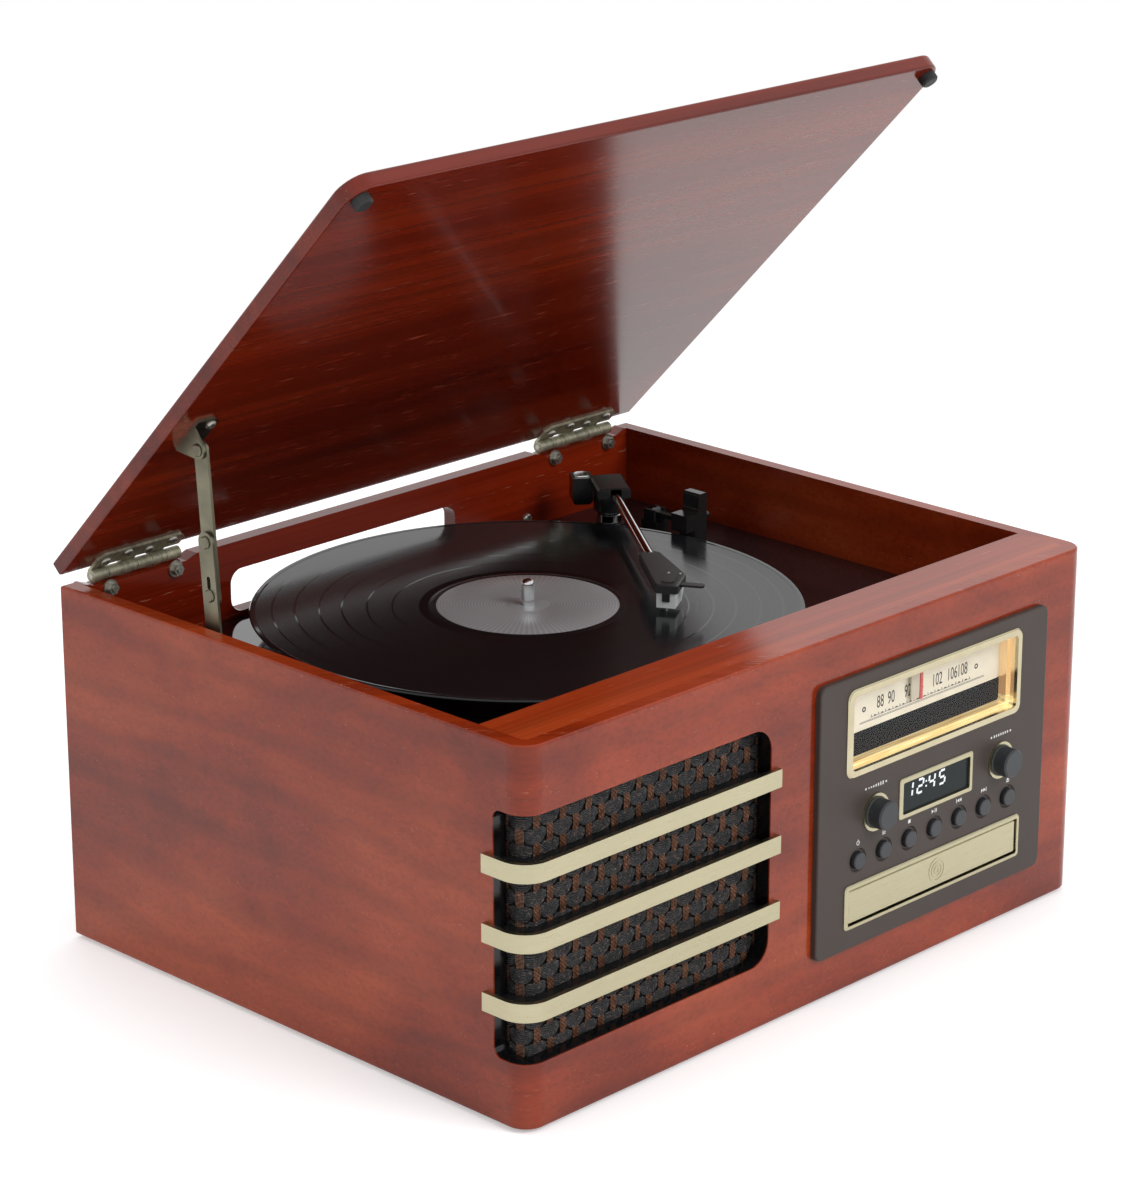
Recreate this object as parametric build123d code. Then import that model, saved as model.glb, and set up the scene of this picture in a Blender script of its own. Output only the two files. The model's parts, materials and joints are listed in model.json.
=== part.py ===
from build123d import *
import math
import os

# A wooden tabletop record player with a radio dial, a disc tray and a folding lid, in millimetres.
# X runs to the right as seen from the front, the front faces -Y and Z is up.
# Heights are measured from the underside of the cabinet, which the pads lift off the ground.

# Cabinet
cabinet_width = 434.0
cabinet_depth = 346.0
cabinet_height = 200.0
board = 9.0
corner_radius = 12.0
edge_round = 1.4
ledge_depth = 40.0
deck_drop = 43.5
deck_thickness = 3.0
cleat_size = 12.0
foot_thickness = 2.0
foot_radius = 9.0
foot_inset = 26.0

# Clearances
running = 0.05
gap = 0.3
bolt_slack = 0.2

# Window in the back for a record that is wider than the cabinet is deep
window_x = -21.5
window_width = 171.0
window_height = 24.5
window_sill = 3.0
window_corner = 8.0

# Lid and hinges
lid_overhang = 1.2
lid_length = 338.7
lid_thickness = 8.5
lid_corner = 14.0
lid_gap = 5.2
lid_open = 46.1
lid_setback = 2.9
bumper_radius = 5.0
bumper_inset = 9.0
hinge_inset = 48.5
hinge_length = 60.0
knuckles = 6
barrel_radius = 3.5
pin_radius = 1.5
pin_inset = 2.5
pin_rise = 1.2
leaf = 1.5
lid_leaf_width = 12.5
lid_leaf_recess = 1.5
back_leaf_drop = 13.2
notch_slack = 0.5
notch_slope = 7.5
bolt_radius = 1.6
bolt_spacing = 45.0
bolt_drop = 5.2
bolt_head_radius = 3.6
bolt_head_height = 2.2
nut_radius = 3.4
nut_height = 2.8
washer_radius = 4.6
washer_height = 1.0

# Lid stay, a folding pair of arms beside the left wall
stay_thickness = 1.6
stay_width = 10.0
stay_standoff = 4.6
stay_rivet_radius = 2.0
stay_head_radius = 3.4
stay_head_height = 1.2
stay_lid_reach = 129.7
stay_lid_drop = 10.6
stay_foot_y = 63.5
stay_foot_rise = 11.5
stay_upper_length = 48.35
stay_tail = 30.0
stay_lock = 28.2
stay_slot_length = 7.0
stay_slot_width = 2.6
bracket_length = 25.7
bracket_fold = 20.0
bracket_flange = 15.6
bracket_corner = 7.0

# Turntable
spindle_x = -11.0
spindle_y = 30.0
spindle_radius = 3.55
spindle_rise = 14.5
spindle_flange_radius = 8.0
spindle_flange_height = 2.2
record_radius = 150.8
record_thickness = 1.6
record_relief = 0.2
record_hole = 3.62
record_rise = 16.9
label_radius = 50.0
bead_width = 3.5
mat_thickness = 2.0
mat_radius = 95.0
platter_radius = 98.0
platter_height = 9.3
platter_skin = 3.0
platter_rim = 2.5
hub_radius = 14.0
drum_radius = 60.0
pulley_radius = 3.5
pulley_distance = 80.0
belt_thickness = 0.9
belt_height = 4.0
motor_radius = 14.0
motor_length = 26.0
motor_shaft_radius = 1.0

# Tonearm
pivot_side = 70.0
pivot_y = 120.0
arm_height = 30.5
arm_length = 189.5
arm_angle = -126.83
head_offset = 23.0
tube_radius = 2.9
tube_start = 20.0
tube_end = 137.0
base_radius = 16.0
base_boss_radius = 10.0
base_boss_height = 8.5
collar_radius = 4.6
collar_height = 6.0
arm_shaft_radius = 3.0
arm_shaft_grip = 4.5
yoke_width = 19.3
yoke_length = 30.6
yoke_back = 6.0
yoke_top = 35.5
yoke_roof = 6.0
yoke_shift = -0.95
lift_angle = 3.0
trunnion_radius = 1.2
trunnion_x = 4.0
weight_x = -8.6
weight_y = -15.2
weight_width = 12.0
weight_length = 14.0
weight_height = 17.0
cartridge_width = 10.5
cartridge_length = 21.0
cartridge_height = 8.5
cartridge_lead = 3.0
headshell_width = 13.0
headshell_thickness = 5.0
finger_length = 13.0
head_socket = 4.0
park_angle = -90.5
rest_distance = 62.0
rest_width = 17.0
rest_depth = 12.0
rest_finger = 7.0
rest_finger_rise = 11.2
rest_neck = 10.0
rest_head = 10.0
rest_curve = 2.6
clip_reach = 7.0

# Cue lever and speed switch
cue_side = 49.0
cue_y = 103.0
cue_height = 12.5
cue_handle = 20.0
switch_side = 31.0
switch_y = -70.0
switch_travel = 8.0

# Front panel
panel_side = 130.5
panel_z = 100.0
panel_width = 188.0
panel_height = 152.0
panel_thickness = 3.5
panel_corner = 5.0
panel_margin = 5.0
dial_shift = -1.0
dial_z = 144.7
dial_width = 144.0
dial_height = 49.0
dial_corner = 5.5
dial_flange = 1.2
dial_depth = 10.3
dial_step = 2.0
dial_rim = 4.0
dial_wall = 1.0
dial_plate_thickness = 1.5
dial_strip_height = 13.0
dial_strip_relief = 0.4
pointer_shift = -3.5
pointer_width = 2.2
pointer_height = 15.5
carriage_width = 7.0
display_shift = 1.3
display_z = 97.1
display_width = 61.0
display_height = 23.2
display_rim = 2.6
display_corner = 1.6
volume_shift = -48.5
tuning_shift = 56.0
knob_z = 96.4
knob_radius = 8.7
knob_length = 10.0
knob_draft = 0.4
knob_shaft_radius = 3.0
ring_radius = 10.4
ring_width = 1.6
trim_height = 0.9
button_shift = 0.8
button_z = 73.0
button_spacing = 20.9
button_radius = 4.7
button_proud = 2.0
button_travel = 1.2
button_dish = 6.8
button_dish_depth = 1.0
stem_radius = 1.8
board_setback = 13.0
board_margin = 6.5
board_under = 10.0
board_over = 19.0
switch_gap = 3.3
switch_body = 6.0
control_body = 16.0
control_depth = 9.0
control_bush = 4.6
post_radius = 2.5
post_inset = 20.0
board_thickness = 1.6

# Disc tray and its drive
tray_shift = 1.0
tray_z = 47.9
tray_frame_width = 146.5
tray_frame_height = 25.2
tray_frame_rim = 2.4
tray_frame_corner = 2.6
tray_front_gap = 0.9
tray_front_thickness = 4.0
tray_width = 128.0
tray_length = 150.0
tray_thickness = 6.0
tray_drop = 3.0
tray_travel = 128.0
disc_radius = 60.5
disc_pocket = 2.0
drive_wall = 3.0
drive_length = 155.0
drive_headroom = 14.0
drive_floor_drop = 8.0

# Grille round the left front corner
grille_width = 176.0
grille_back = 22.0
grille_low = 35.0
grille_top_margin = 35.5
grille_corner = 13.0
grille_back_corner = 5.0
cloth_depth = 12.0
cloth_thickness = 0.8
cloth_corner = 7.0
baffle_thickness = 6.0
baffle_border = 4.0
baffle_rim = 4.0
bar_pitch = 36.2
bar_height = 9.8
bar_thickness = 3.0
bar_lap = 5.0
fin_height = 3.2
bar_count = 3
driver_radius = 36.0
driver_spacing = 80.0
driver_side = 99.0
driver_depth = 34.0
magnet_radius = 20.0
magnet_depth = 14.0

# Rear sockets and the amplifier board
socket_x = 130.0
socket_z = 40.0
socket_plate_width = 64.0
socket_plate_height = 26.0
socket_plate_thickness = 2.0
socket_radius = 4.2
socket_length = 9.0
socket_hole = 1.7
socket_spacing = 18.0
jack_radius = 2.9
amp_x = -110.0
amp_y = 60.0
amp_width = 140.0
amp_depth = 90.0
amp_post = 8.0
amp_hole_inset = 6.0
sink_width = 60.0
sink_height = 30.0
sink_depth = 16.0
fin_pitch = 9.0
capacitor_radius = 7.0
capacitor_height = 22.0
transformer_size = 40.0

# Places worked out from the sizes above
half_width = cabinet_width / 2
hinge_x = half_width - hinge_inset
pivot_x = half_width - pivot_side
cue_x = half_width - cue_side
switch_x = half_width - switch_side
panel_x = half_width - panel_side
dial_x = panel_x + dial_shift
pointer_x = dial_x + pointer_shift
display_x = panel_x + display_shift
volume_x = panel_x + volume_shift
tuning_x = panel_x + tuning_shift
button_x = panel_x + button_shift
tray_x = panel_x + tray_shift
grille_right = grille_width - half_width
grille_high = cabinet_height - grille_top_margin
driver_x = driver_side - half_width
front = -cabinet_depth / 2
back = cabinet_depth / 2
inner_x = half_width - board
inner_front = front + board
inner_back = back - board
inner_corner = corner_radius - board
apron_back = front + ledge_depth
apron_front = apron_back - board
deck_top = cabinet_height - deck_drop
deck_under = deck_top - deck_thickness
panel_face = front - panel_thickness
pin_y = back - pin_inset
pin_z = cabinet_height + pin_rise
lid_face = cabinet_height + lid_gap
lid_back = pin_y - lid_setback
bolt_z = cabinet_height - bolt_drop
record_top = deck_top + record_rise
record_under = record_top - record_thickness
platter_top = record_under - mat_thickness
platter_under = platter_top - platter_height
arm_z = deck_top + arm_height
window_low = deck_top + window_sill

os.makedirs("parts", exist_ok=True)


def save(name, *solids):
    """Lift the finished solids onto the pads and write them as one node."""
    lifted = [Pos(0, 0, foot_thickness) * solid for solid in solids]
    export_step(Compound(children=lifted), f"parts/{name}.step")


def block(x, y, z):
    """A box given by its span along each axis."""
    size = [high - low for low, high in (x, y, z)]
    middle = [(high + low) / 2 for low, high in (x, y, z)]
    return Pos(*middle) * Box(*size)


def plate(x, z, width, height, corner, y_front, y_back):
    """A rounded rectangle that faces the front, from y_front back to y_back."""
    outline = Plane((x, y_back, z), x_dir=(1, 0, 0), z_dir=(0, -1, 0)) * RectangleRounded(width, height, corner)
    return extrude(outline, y_back - y_front)


def rod_y(x, z, radius, y_front, y_back):
    """A round rod along Y."""
    outline = Plane((x, y_back, z), x_dir=(1, 0, 0), z_dir=(0, -1, 0)) * Circle(radius)
    return extrude(outline, y_back - y_front)


def rod_x(y, z, radius, x_low, x_high):
    """A round rod along X."""
    return extrude(Plane((x_low, y, z), x_dir=(0, 1, 0), z_dir=(1, 0, 0)) * Circle(radius), x_high - x_low)


def rod_z(x, y, radius, z_low, z_high):
    """An upright round rod."""
    return extrude(Pos(x, y, z_low) * Circle(radius), z_high - z_low)


def corner_plan(inset, radius, right, rear):
    """The plan of everything further in than inset at the left front corner, out to right and rear."""
    left = -half_width + inset
    near = front + inset
    outline = Pos((left + right) / 2, (near + rear) / 2) * Rectangle(right - left, rear - near)
    return fillet(outline.vertices().group_by(Axis.Y)[0].sort_by(Axis.X)[0], radius)


def corner_band(insets, radii, right, rear, low, high):
    """An upright band that follows the left front corner between two insets, each with its own corner radius."""
    outer = corner_plan(insets[0], radii[0], right, rear)
    inner = corner_plan(insets[1], radii[1], right + 1, rear + 1)
    return Pos(0, 0, low) * extrude(outer - inner, high - low)


# Cabinet boards


def prism_with_front_corners(width, y_low, y_high, radius, low, high):
    """A block whose two upright front corners are rounded."""
    outline = Pos(0, (y_low + y_high) / 2) * Rectangle(width, y_high - y_low)
    rounded = fillet(outline.vertices().group_by(Axis.Y)[0], radius)
    return Pos(0, 0, low) * extrude(rounded, high - low)


def grille_opening():
    """The cut through the front and round the corner into the side."""
    reach = 2 * board
    height = grille_high - grille_low
    middle = (grille_high + grille_low) / 2
    rear = front + grille_back
    left = -half_width - reach
    width = grille_right - left
    face = plate((left + grille_right) / 2, middle, width, height, grille_corner, front - reach, front + reach)
    side_plan = Plane((left, (rear + front - reach) / 2, middle), x_dir=(0, 1, 0), z_dir=(1, 0, 0))
    side = side_plan * RectangleRounded(rear - front + reach, height, grille_back_corner)
    infill = block((left, -half_width + reach), (front - reach, front + board), (grille_low, grille_high))
    return face + extrude(side, 2 * reach) + infill


def cabinet_shell():
    """Front and sides in one wrap, with the grille opening and the aperture behind the panel."""
    body = prism_with_front_corners(cabinet_width, front, back, corner_radius, 0, cabinet_height)
    ends = body.faces().filter_by(Axis.Z)
    body = fillet(ends.edges(), edge_round)
    inside = prism_with_front_corners(
        2 * inner_x, inner_front, back + board, inner_corner, -1, cabinet_height + 1
    )
    aperture = plate(
        panel_x, panel_z, panel_width - 2 * panel_margin, panel_height - 2 * panel_margin,
        panel_corner, front - 1, inner_front + 1,
    )
    return body - inside - grille_opening() - aperture


def hinge_notch(middle, floor):
    """A dip in the rear rim for one hinge barrel, with sloping ends."""
    reach = hinge_length / 2 + notch_slack
    slope = notch_slope / (cabinet_height - floor)
    over = 1.0
    mouth = reach + notch_slope + slope * over
    high = cabinet_height + over
    outline = Polyline(
        (middle - reach, floor), (middle + reach, floor), (middle + mouth, high), (middle - mouth, high), close=True
    )
    frame = Plane((0, back + 1, 0), x_dir=(1, 0, 0), z_dir=(0, -1, 0))
    return extrude(frame * make_face(outline), board + 2)


def back_panel():
    """Rear board with the record window, hinge notches, bolt holes and the socket cut-out."""
    body = block((-inner_x, inner_x), (inner_back, back), (0, cabinet_height))
    body -= plate(
        window_x, window_low + window_height / 2, window_width, window_height, window_corner,
        inner_back - 1, back + 1,
    )
    notch_floor = pin_z - barrel_radius - gap
    for side in (-1, 1):
        middle = side * hinge_x
        body -= hinge_notch(middle, notch_floor)
        for x in (middle - bolt_spacing / 2, middle + bolt_spacing / 2):
            body -= rod_y(x, bolt_z, bolt_radius + bolt_slack, inner_back - 1, back + 1)
    body -= plate(
        socket_x, socket_z, socket_plate_width - 8, socket_plate_height - 8, 2, inner_back - 1, back + 1,
    )
    return body


def top_rail():
    """The wide ledge behind the front board's top edge, with the apron that closes it down to the deck."""
    low = cabinet_height - board
    ledge = prism_with_front_corners(2 * inner_x, inner_front, apron_back, inner_corner, low, cabinet_height)
    return ledge + block((-inner_x, inner_x), (apron_front, apron_back), (deck_top, low))


def base_board():
    """Bottom board between the walls."""
    return prism_with_front_corners(2 * inner_x, inner_front, inner_back, inner_corner, 0, board)


def feet():
    """Five thin round pads, one near each corner and one under the middle."""
    reach_x = half_width - foot_inset
    reach_y = back - foot_inset
    places = [(x, y) for x in (-reach_x, reach_x) for y in (-reach_y, reach_y)]
    places.append((0, 0))
    return [rod_z(x, y, foot_radius, -foot_thickness, 0) for x, y in places]


def deck_cleats():
    """Wooden strips round the inside that carry the deck."""
    low = deck_under - cleat_size
    span = (apron_front, inner_back - cleat_size)
    left = block((-inner_x, -inner_x + cleat_size), span, (low, deck_under))
    right = block((inner_x - cleat_size, inner_x), span, (low, deck_under))
    rear = block((-inner_x, inner_x), (inner_back - cleat_size, inner_back), (low, deck_under))
    return [left, right, rear]


def deck_plate():
    """Motor board with its holes."""
    body = block((-inner_x, inner_x), (apron_front, inner_back), (deck_under, deck_top))
    holes = [
        (spindle_x, spindle_y, spindle_radius + running),
        (*pulley_place(), motor_shaft_radius + 1),
        (pivot_x, pivot_y, arm_shaft_radius + running),
    ]
    for x, y, radius in holes:
        body -= rod_z(x, y, radius, deck_under - 1, deck_top + 1)
    slot = block(
        (switch_x - 1.5, switch_x + 1.5),
        (switch_y - switch_travel - 2, switch_y + switch_travel + 2),
        (deck_under - 1, deck_top + 1),
    )
    return body - slot


# Lid, hinges and stay


def opened(shape):
    """Turn a piece that is drawn on the closed lid to the open lid."""
    return shape.rotate(Axis((0, pin_y, pin_z), (1, 0, 0)), -lid_open)


def lid_board():
    """Lid board with rounded front corners and softened edges."""
    width = cabinet_width + 2 * lid_overhang
    body = prism_with_front_corners(
        width, lid_back - lid_length, lid_back, lid_corner, lid_face, lid_face + lid_thickness
    )
    body = fillet(body.faces().filter_by(Axis.Z).edges(), edge_round)
    return opened(body)


def lid_bumpers():
    """Two round pads that the closed lid rests on."""
    reach = half_width + lid_overhang - bumper_inset
    y = lid_back - lid_length + bumper_inset
    pads = []
    for x in (-reach, reach):
        pad = rod_z(x, y, bumper_radius, cabinet_height + gap, lid_face)
        pad = chamfer(pad.edges().group_by(Axis.Z)[0], 1)
        pads.append(opened(pad))
    return pads


def knuckle_spans(middle, first):
    """The stretches of the barrel that belong to one leaf, every second knuckle from the first."""
    pitch = hinge_length / knuckles
    start = middle - hinge_length / 2
    picks = range(first, knuckles, 2)
    return [(start + i * pitch + gap / 2, start + (i + 1) * pitch - gap / 2) for i in picks]


def lid_hinge_leaf(middle):
    """Leaf under the lid with its three knuckles."""
    inner_edge = lid_back - lid_leaf_recess
    half = hinge_length / 2
    y_far = lid_back - lid_leaf_width
    body = block((middle - half, middle + half), (y_far, inner_edge), (lid_face - leaf, lid_face))
    far_corners = body.edges().filter_by(Axis.Z).group_by(Axis.Y)[0]
    body = chamfer(far_corners, 4)
    for x_low, x_high in knuckle_spans(middle, 0):
        body += block((x_low, x_high), (inner_edge - 1, pin_y), (lid_face - leaf, lid_face))
        body += rod_x(pin_y, pin_z, barrel_radius, x_low, x_high)
    body -= rod_x(pin_y, pin_z, pin_radius + running, middle - half - 1, middle + half + 1)
    return opened(body)


def cabinet_hinge_leaf(middle):
    """Leaf behind the back board with its three knuckles."""
    half = hinge_length / 2
    low = cabinet_height - back_leaf_drop
    high = pin_z - barrel_radius - gap
    body = block((middle - half, middle + half), (back, back + leaf), (low, high))
    for x_low, x_high in knuckle_spans(middle, 1):
        body += block((x_low, x_high), (back, back + leaf), (high - 1, pin_z))
        body += rod_x(pin_y, pin_z, barrel_radius, x_low, x_high)
    body -= rod_x(pin_y, pin_z, pin_radius + running, middle - half - 1, middle + half + 1)
    for x in (middle - bolt_spacing / 2, middle + bolt_spacing / 2):
        body -= rod_y(x, bolt_z, bolt_radius + bolt_slack, back - 1, back + leaf + 1)
    return body


def hinge_pin(middle):
    """Pin through the six knuckles."""
    half = hinge_length / 2
    return rod_x(pin_y, pin_z, pin_radius, middle - half, middle + half)


def hinge_bolt(x):
    """Bolt through leaf and board, with its washer and nut on the inside."""
    outside = back + leaf
    head = rod_y(x, bolt_z, bolt_head_radius, outside, outside + bolt_head_height)
    head = fillet(head.edges().group_by(Axis.Y)[-1], 1)
    shank = rod_y(x, bolt_z, bolt_radius, inner_back - washer_height - nut_height - 1, outside)
    washer = rod_y(x, bolt_z, washer_radius, inner_back - washer_height, inner_back)
    hexagon = Plane((x, inner_back - washer_height, bolt_z), x_dir=(1, 0, 0), z_dir=(0, -1, 0))
    nut = extrude(hexagon * RegularPolygon(nut_radius, 6), nut_height)
    hole = rod_y(x, bolt_z, bolt_radius + running, inner_back - 20, inner_back + 1)
    return [head + shank, washer - hole, nut - hole]


stay_lower_x = -inner_x + stay_standoff
stay_upper_x = stay_lower_x + stay_thickness + gap
stay_tab_x = stay_lower_x
stay_head_point = (lid_back - stay_lid_reach, lid_face - stay_lid_drop)
stay_foot_point = (stay_foot_y, deck_top + stay_foot_rise)


def turned(point, degrees):
    """A point (y, z) turned about the hinge pin."""
    y, z = point[0] - pin_y, point[1] - pin_z
    c, s = math.cos(math.radians(degrees)), math.sin(math.radians(degrees))
    return (pin_y + c * y - s * z, pin_z + s * y + c * z)


def along(start, end, distance):
    """The point at a distance from start towards end."""
    length = math.dist(start, end)
    return tuple(a + (b - a) * distance / length for a, b in zip(start, end))


stay_open_head = turned(stay_head_point, -lid_open)
stay_open_elbow = along(stay_open_head, stay_foot_point, stay_upper_length)


def arm_outline(x, start, end, width):
    """A flat bar with round ends, from start to end in the plane at x."""
    middle = ((start[0] + end[0]) / 2, (start[1] + end[1]) / 2)
    turn = math.degrees(math.atan2(end[1] - start[1], end[0] - start[0]))
    frame = Plane((x, *middle), x_dir=(0, 1, 0), z_dir=(1, 0, 0)) * Rot(0, 0, turn)
    return extrude(frame * SlotCenterToCenter(math.dist(start, end), width), stay_thickness)


def stay_upper_arm():
    """Upper arm, from the lid bracket past the elbow."""
    tail = along(stay_open_head, stay_foot_point, stay_upper_length + stay_tail)
    body = arm_outline(stay_upper_x, stay_open_head, tail, stay_width)
    return body - rod_x(*stay_open_head, stay_rivet_radius + running, stay_upper_x - 1, stay_upper_x + 3)


def stay_lower_arm():
    """Lower arm with its slot, its elbow rivet and its lock rivet."""
    body = arm_outline(stay_lower_x, stay_open_elbow, stay_foot_point, stay_width + 1)
    body -= rod_x(*stay_foot_point, stay_rivet_radius + running, stay_lower_x - 1, stay_upper_x)
    slot_start = along(stay_open_elbow, stay_foot_point, stay_lock - stay_slot_length - 2)
    slot_end = along(stay_open_elbow, stay_foot_point, stay_lock - 4.5)
    body -= arm_outline(stay_lower_x, slot_start, slot_end, stay_slot_width)
    lock = along(stay_open_elbow, stay_foot_point, stay_lock)
    for point in (stay_open_elbow, lock):
        head = rod_x(*point, stay_head_radius, stay_lower_x - stay_head_height, stay_lower_x)
        body += chamfer(head.edges().group_by(Axis.X)[0], 0.6)
    return body


def stay_lid_bracket():
    """Folded bracket under the lid, with the rivet that the upper arm turns on."""
    y, z = stay_head_point
    y_back = y + bracket_length - bracket_corner - stay_width / 2
    y_front = y_back - bracket_length
    low = lid_face - stay_thickness
    flange = block((stay_tab_x, stay_tab_x + bracket_flange), (y_front, y_back), (low, lid_face))
    flange = fillet(flange.edges().filter_by(Axis.Z).group_by(Axis.X)[-1], bracket_corner)
    frame = Plane((stay_tab_x, 0, 0), x_dir=(0, 1, 0), z_dir=(1, 0, 0))
    eye = Pos(y, z) * Circle(stay_width / 2)
    fold = Pos(y_back - bracket_fold / 2, low + stay_thickness / 2) * Rectangle(bracket_fold, stay_thickness)
    tab = frame * make_hull([*eye.edges(), *fold.edges()])
    body = flange + extrude(tab, stay_thickness)
    body += rod_x(y, z, stay_rivet_radius, stay_tab_x, stay_upper_x + stay_thickness + gap)
    head = rod_x(y, z, stay_head_radius, stay_tab_x - stay_head_height, stay_tab_x)
    body += chamfer(head.edges().group_by(Axis.X)[0], 0.6)
    tail = stay_upper_x + stay_thickness + gap
    body += rod_x(y, z, stay_head_radius, tail, tail + stay_head_height)
    return opened(body)


def stay_wall_bracket():
    """Small plate on the left wall with the stud of the lower arm."""
    y, z = stay_foot_point
    wall = -inner_x
    frame = Plane((wall, y, z + 5), x_dir=(0, 1, 0), z_dir=(1, 0, 0))
    body = extrude(frame * RectangleRounded(16, 30, 4), stay_thickness)
    body += rod_x(y, z, stay_rivet_radius + 1.4, wall, stay_lower_x - gap)
    body += rod_x(y, z, stay_rivet_radius, wall, stay_upper_x)
    return body + rod_x(y, z, stay_head_radius, stay_upper_x, stay_upper_x + stay_head_height)


def print_stay_ratios():
    """Say how far each arm turns while the lid closes, for the record's couplings."""
    closed_head = stay_head_point
    lower = math.dist(stay_open_elbow, stay_foot_point)
    span = math.dist(closed_head, stay_foot_point)
    inner = math.acos((span**2 + lower**2 - stay_upper_length**2) / (2 * span * lower))
    foot_y, foot_z = stay_foot_point
    direction = math.atan2(closed_head[1] - foot_z, closed_head[0] - foot_y) + inner
    elbow = (foot_y + lower * math.cos(direction), foot_z + lower * math.sin(direction))

    def heading(start, end):
        return math.degrees(math.atan2(end[1] - start[1], end[0] - start[0])) % 360

    lower_turn = heading(stay_foot_point, elbow) - heading(stay_foot_point, stay_open_elbow)
    upper_turn = heading(closed_head, elbow) - heading(stay_open_head, stay_open_elbow)
    print("stay head, open", stay_open_head, "foot", stay_foot_point, "elbow, closed", elbow)
    print("lower arm turns", lower_turn, "upper arm turns on the lid", upper_turn - lid_open)


# Turntable


def pulley_place():
    """The motor stands behind and to the left of the spindle, under the platter."""
    return (spindle_x - pulley_distance * math.cos(math.radians(40)),
            spindle_y + pulley_distance * math.sin(math.radians(40)))


def ring_profile(points):
    """A closed outline in the XZ plane, spun about the spindle."""
    face = make_face(Plane.XZ * Polyline(*points, close=True))
    return Pos(spindle_x, spindle_y, 0) * revolve(face, Axis.Z)


def spindle():
    """Fixed spindle with its flange on the deck and its domed end."""
    body = rod_z(spindle_x, spindle_y, spindle_radius, deck_under - 6, record_top + spindle_rise)
    body = fillet(body.edges().group_by(Axis.Z)[-1], spindle_radius * 0.8)
    low, high = deck_top, deck_top + spindle_flange_height
    return body + rod_z(spindle_x, spindle_y, spindle_flange_radius, low, high)


def platter():
    """Spun platter with its rim, the drum that the belt drives and the hub."""
    top, low = platter_top, platter_under
    skin = top - platter_skin
    bore = spindle_radius + running
    hub_low = deck_top + spindle_flange_height + gap
    return ring_profile([
        (bore, top), (platter_radius - 1, top), (platter_radius, top - 1), (platter_radius, low),
        (platter_radius - platter_rim, low), (platter_radius - platter_rim, skin),
        (drum_radius, skin), (drum_radius, low), (drum_radius - 3, low), (drum_radius - 3, skin),
        (hub_radius, skin), (hub_radius, hub_low), (bore, hub_low),
    ])


def platter_mat():
    """Round mat between platter and record."""
    body = rod_z(spindle_x, spindle_y, mat_radius, platter_top, record_under)
    return body - rod_z(spindle_x, spindle_y, spindle_radius + 0.5, platter_top - 1, record_under + 1)


def record():
    """Twelve-inch record: raised label area, thinner grooves and a raised bead at the edge."""
    top, low = record_top, record_under
    high, deep = top - record_relief, low + record_relief
    bead = record_radius - bead_width
    return ring_profile([
        (record_hole, top), (label_radius + 2, top), (label_radius + 4, high), (bead, high),
        (bead + 1, top), (record_radius - 0.6, top), (record_radius, (top + low) / 2),
        (record_radius - 0.6, low), (bead + 1, low), (bead, deep),
        (label_radius + 4, deep), (label_radius + 2, low), (record_hole, low),
    ])


belt_low = platter_under + 1.0


def motor_pulley():
    """Flanged pulley on the motor's shaft."""
    x, y = pulley_place()
    belt_high = belt_low + belt_height
    flange = pulley_radius + 1.5
    body = rod_z(x, y, pulley_radius, belt_low - 1.0, belt_high + 1.0)
    body += rod_z(x, y, flange, belt_low - 1.0, belt_low - gap)
    body += rod_z(x, y, flange, belt_high + gap, belt_high + 1.0)
    return body + rod_z(x, y, motor_shaft_radius, deck_under - 6, belt_low - 1.0)


def drive_motor():
    """Round motor under the deck."""
    x, y = pulley_place()
    body = rod_z(x, y, motor_radius, deck_under - motor_length, deck_under)
    body = fillet(body.edges().group_by(Axis.Z)[0], 2)
    return body - rod_z(x, y, motor_shaft_radius + running, deck_under - 8, deck_under + 1)


def drive_belt():
    """Flat belt round the drum and the pulley."""
    x, y = pulley_place()

    def loop(extra):
        drum = Pos(spindle_x, spindle_y) * Circle(drum_radius + extra)
        pulley = Pos(x, y) * Circle(pulley_radius + extra)
        return make_hull([*drum.edges(), *pulley.edges()])

    band = loop(2 * running + belt_thickness) - loop(2 * running)
    return Pos(0, 0, belt_low) * extrude(band, belt_height)


# Tonearm

arm_turn = math.radians(arm_angle)
arm_frame = Location((pivot_x, pivot_y, 0), (0, 0, arm_angle))
stylus_x = pivot_x + arm_length * math.cos(arm_turn)
stylus_y = pivot_y + arm_length * math.sin(arm_turn)
head_frame = Location((stylus_x, stylus_y, 0), (0, 0, arm_angle - head_offset))
collar_low = deck_top + base_boss_height
yoke_low = collar_low + collar_height + gap
tube_low = arm_z - tube_radius
head_low = arm_z - headshell_thickness / 2


def tonearm_base():
    """Flange, boss and bright collar, with the shaft that the arm swings on."""
    body = rod_z(pivot_x, pivot_y, base_radius, deck_top, deck_top + 3)
    body = chamfer(body.edges().group_by(Axis.Z)[-1], 1)
    body += rod_z(pivot_x, pivot_y, base_boss_radius, deck_top, collar_low)
    body += rod_z(pivot_x, pivot_y, collar_radius, collar_low, collar_low + collar_height)
    body += rod_z(pivot_x, pivot_y, arm_shaft_radius, deck_under - 5, yoke_low + arm_shaft_grip)
    pedestal = block((cue_x - 5, cue_x + 5), (cue_y - 6, cue_y + 6), (deck_top, deck_top + cue_height - 4))
    cheeks = [
        block((cue_x + low, cue_x + low + 1.6), (cue_y - 4, cue_y + 4),
              (deck_top + cue_height - 4, deck_top + cue_height + 3))
        for low in (-5, 3.4)
    ]
    pin = rod_x(cue_y, deck_top + cue_height, 1.2, cue_x - 5, cue_x + 5)
    return [body, pedestal + cheeks[0] + cheeks[1] + pin]


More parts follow.
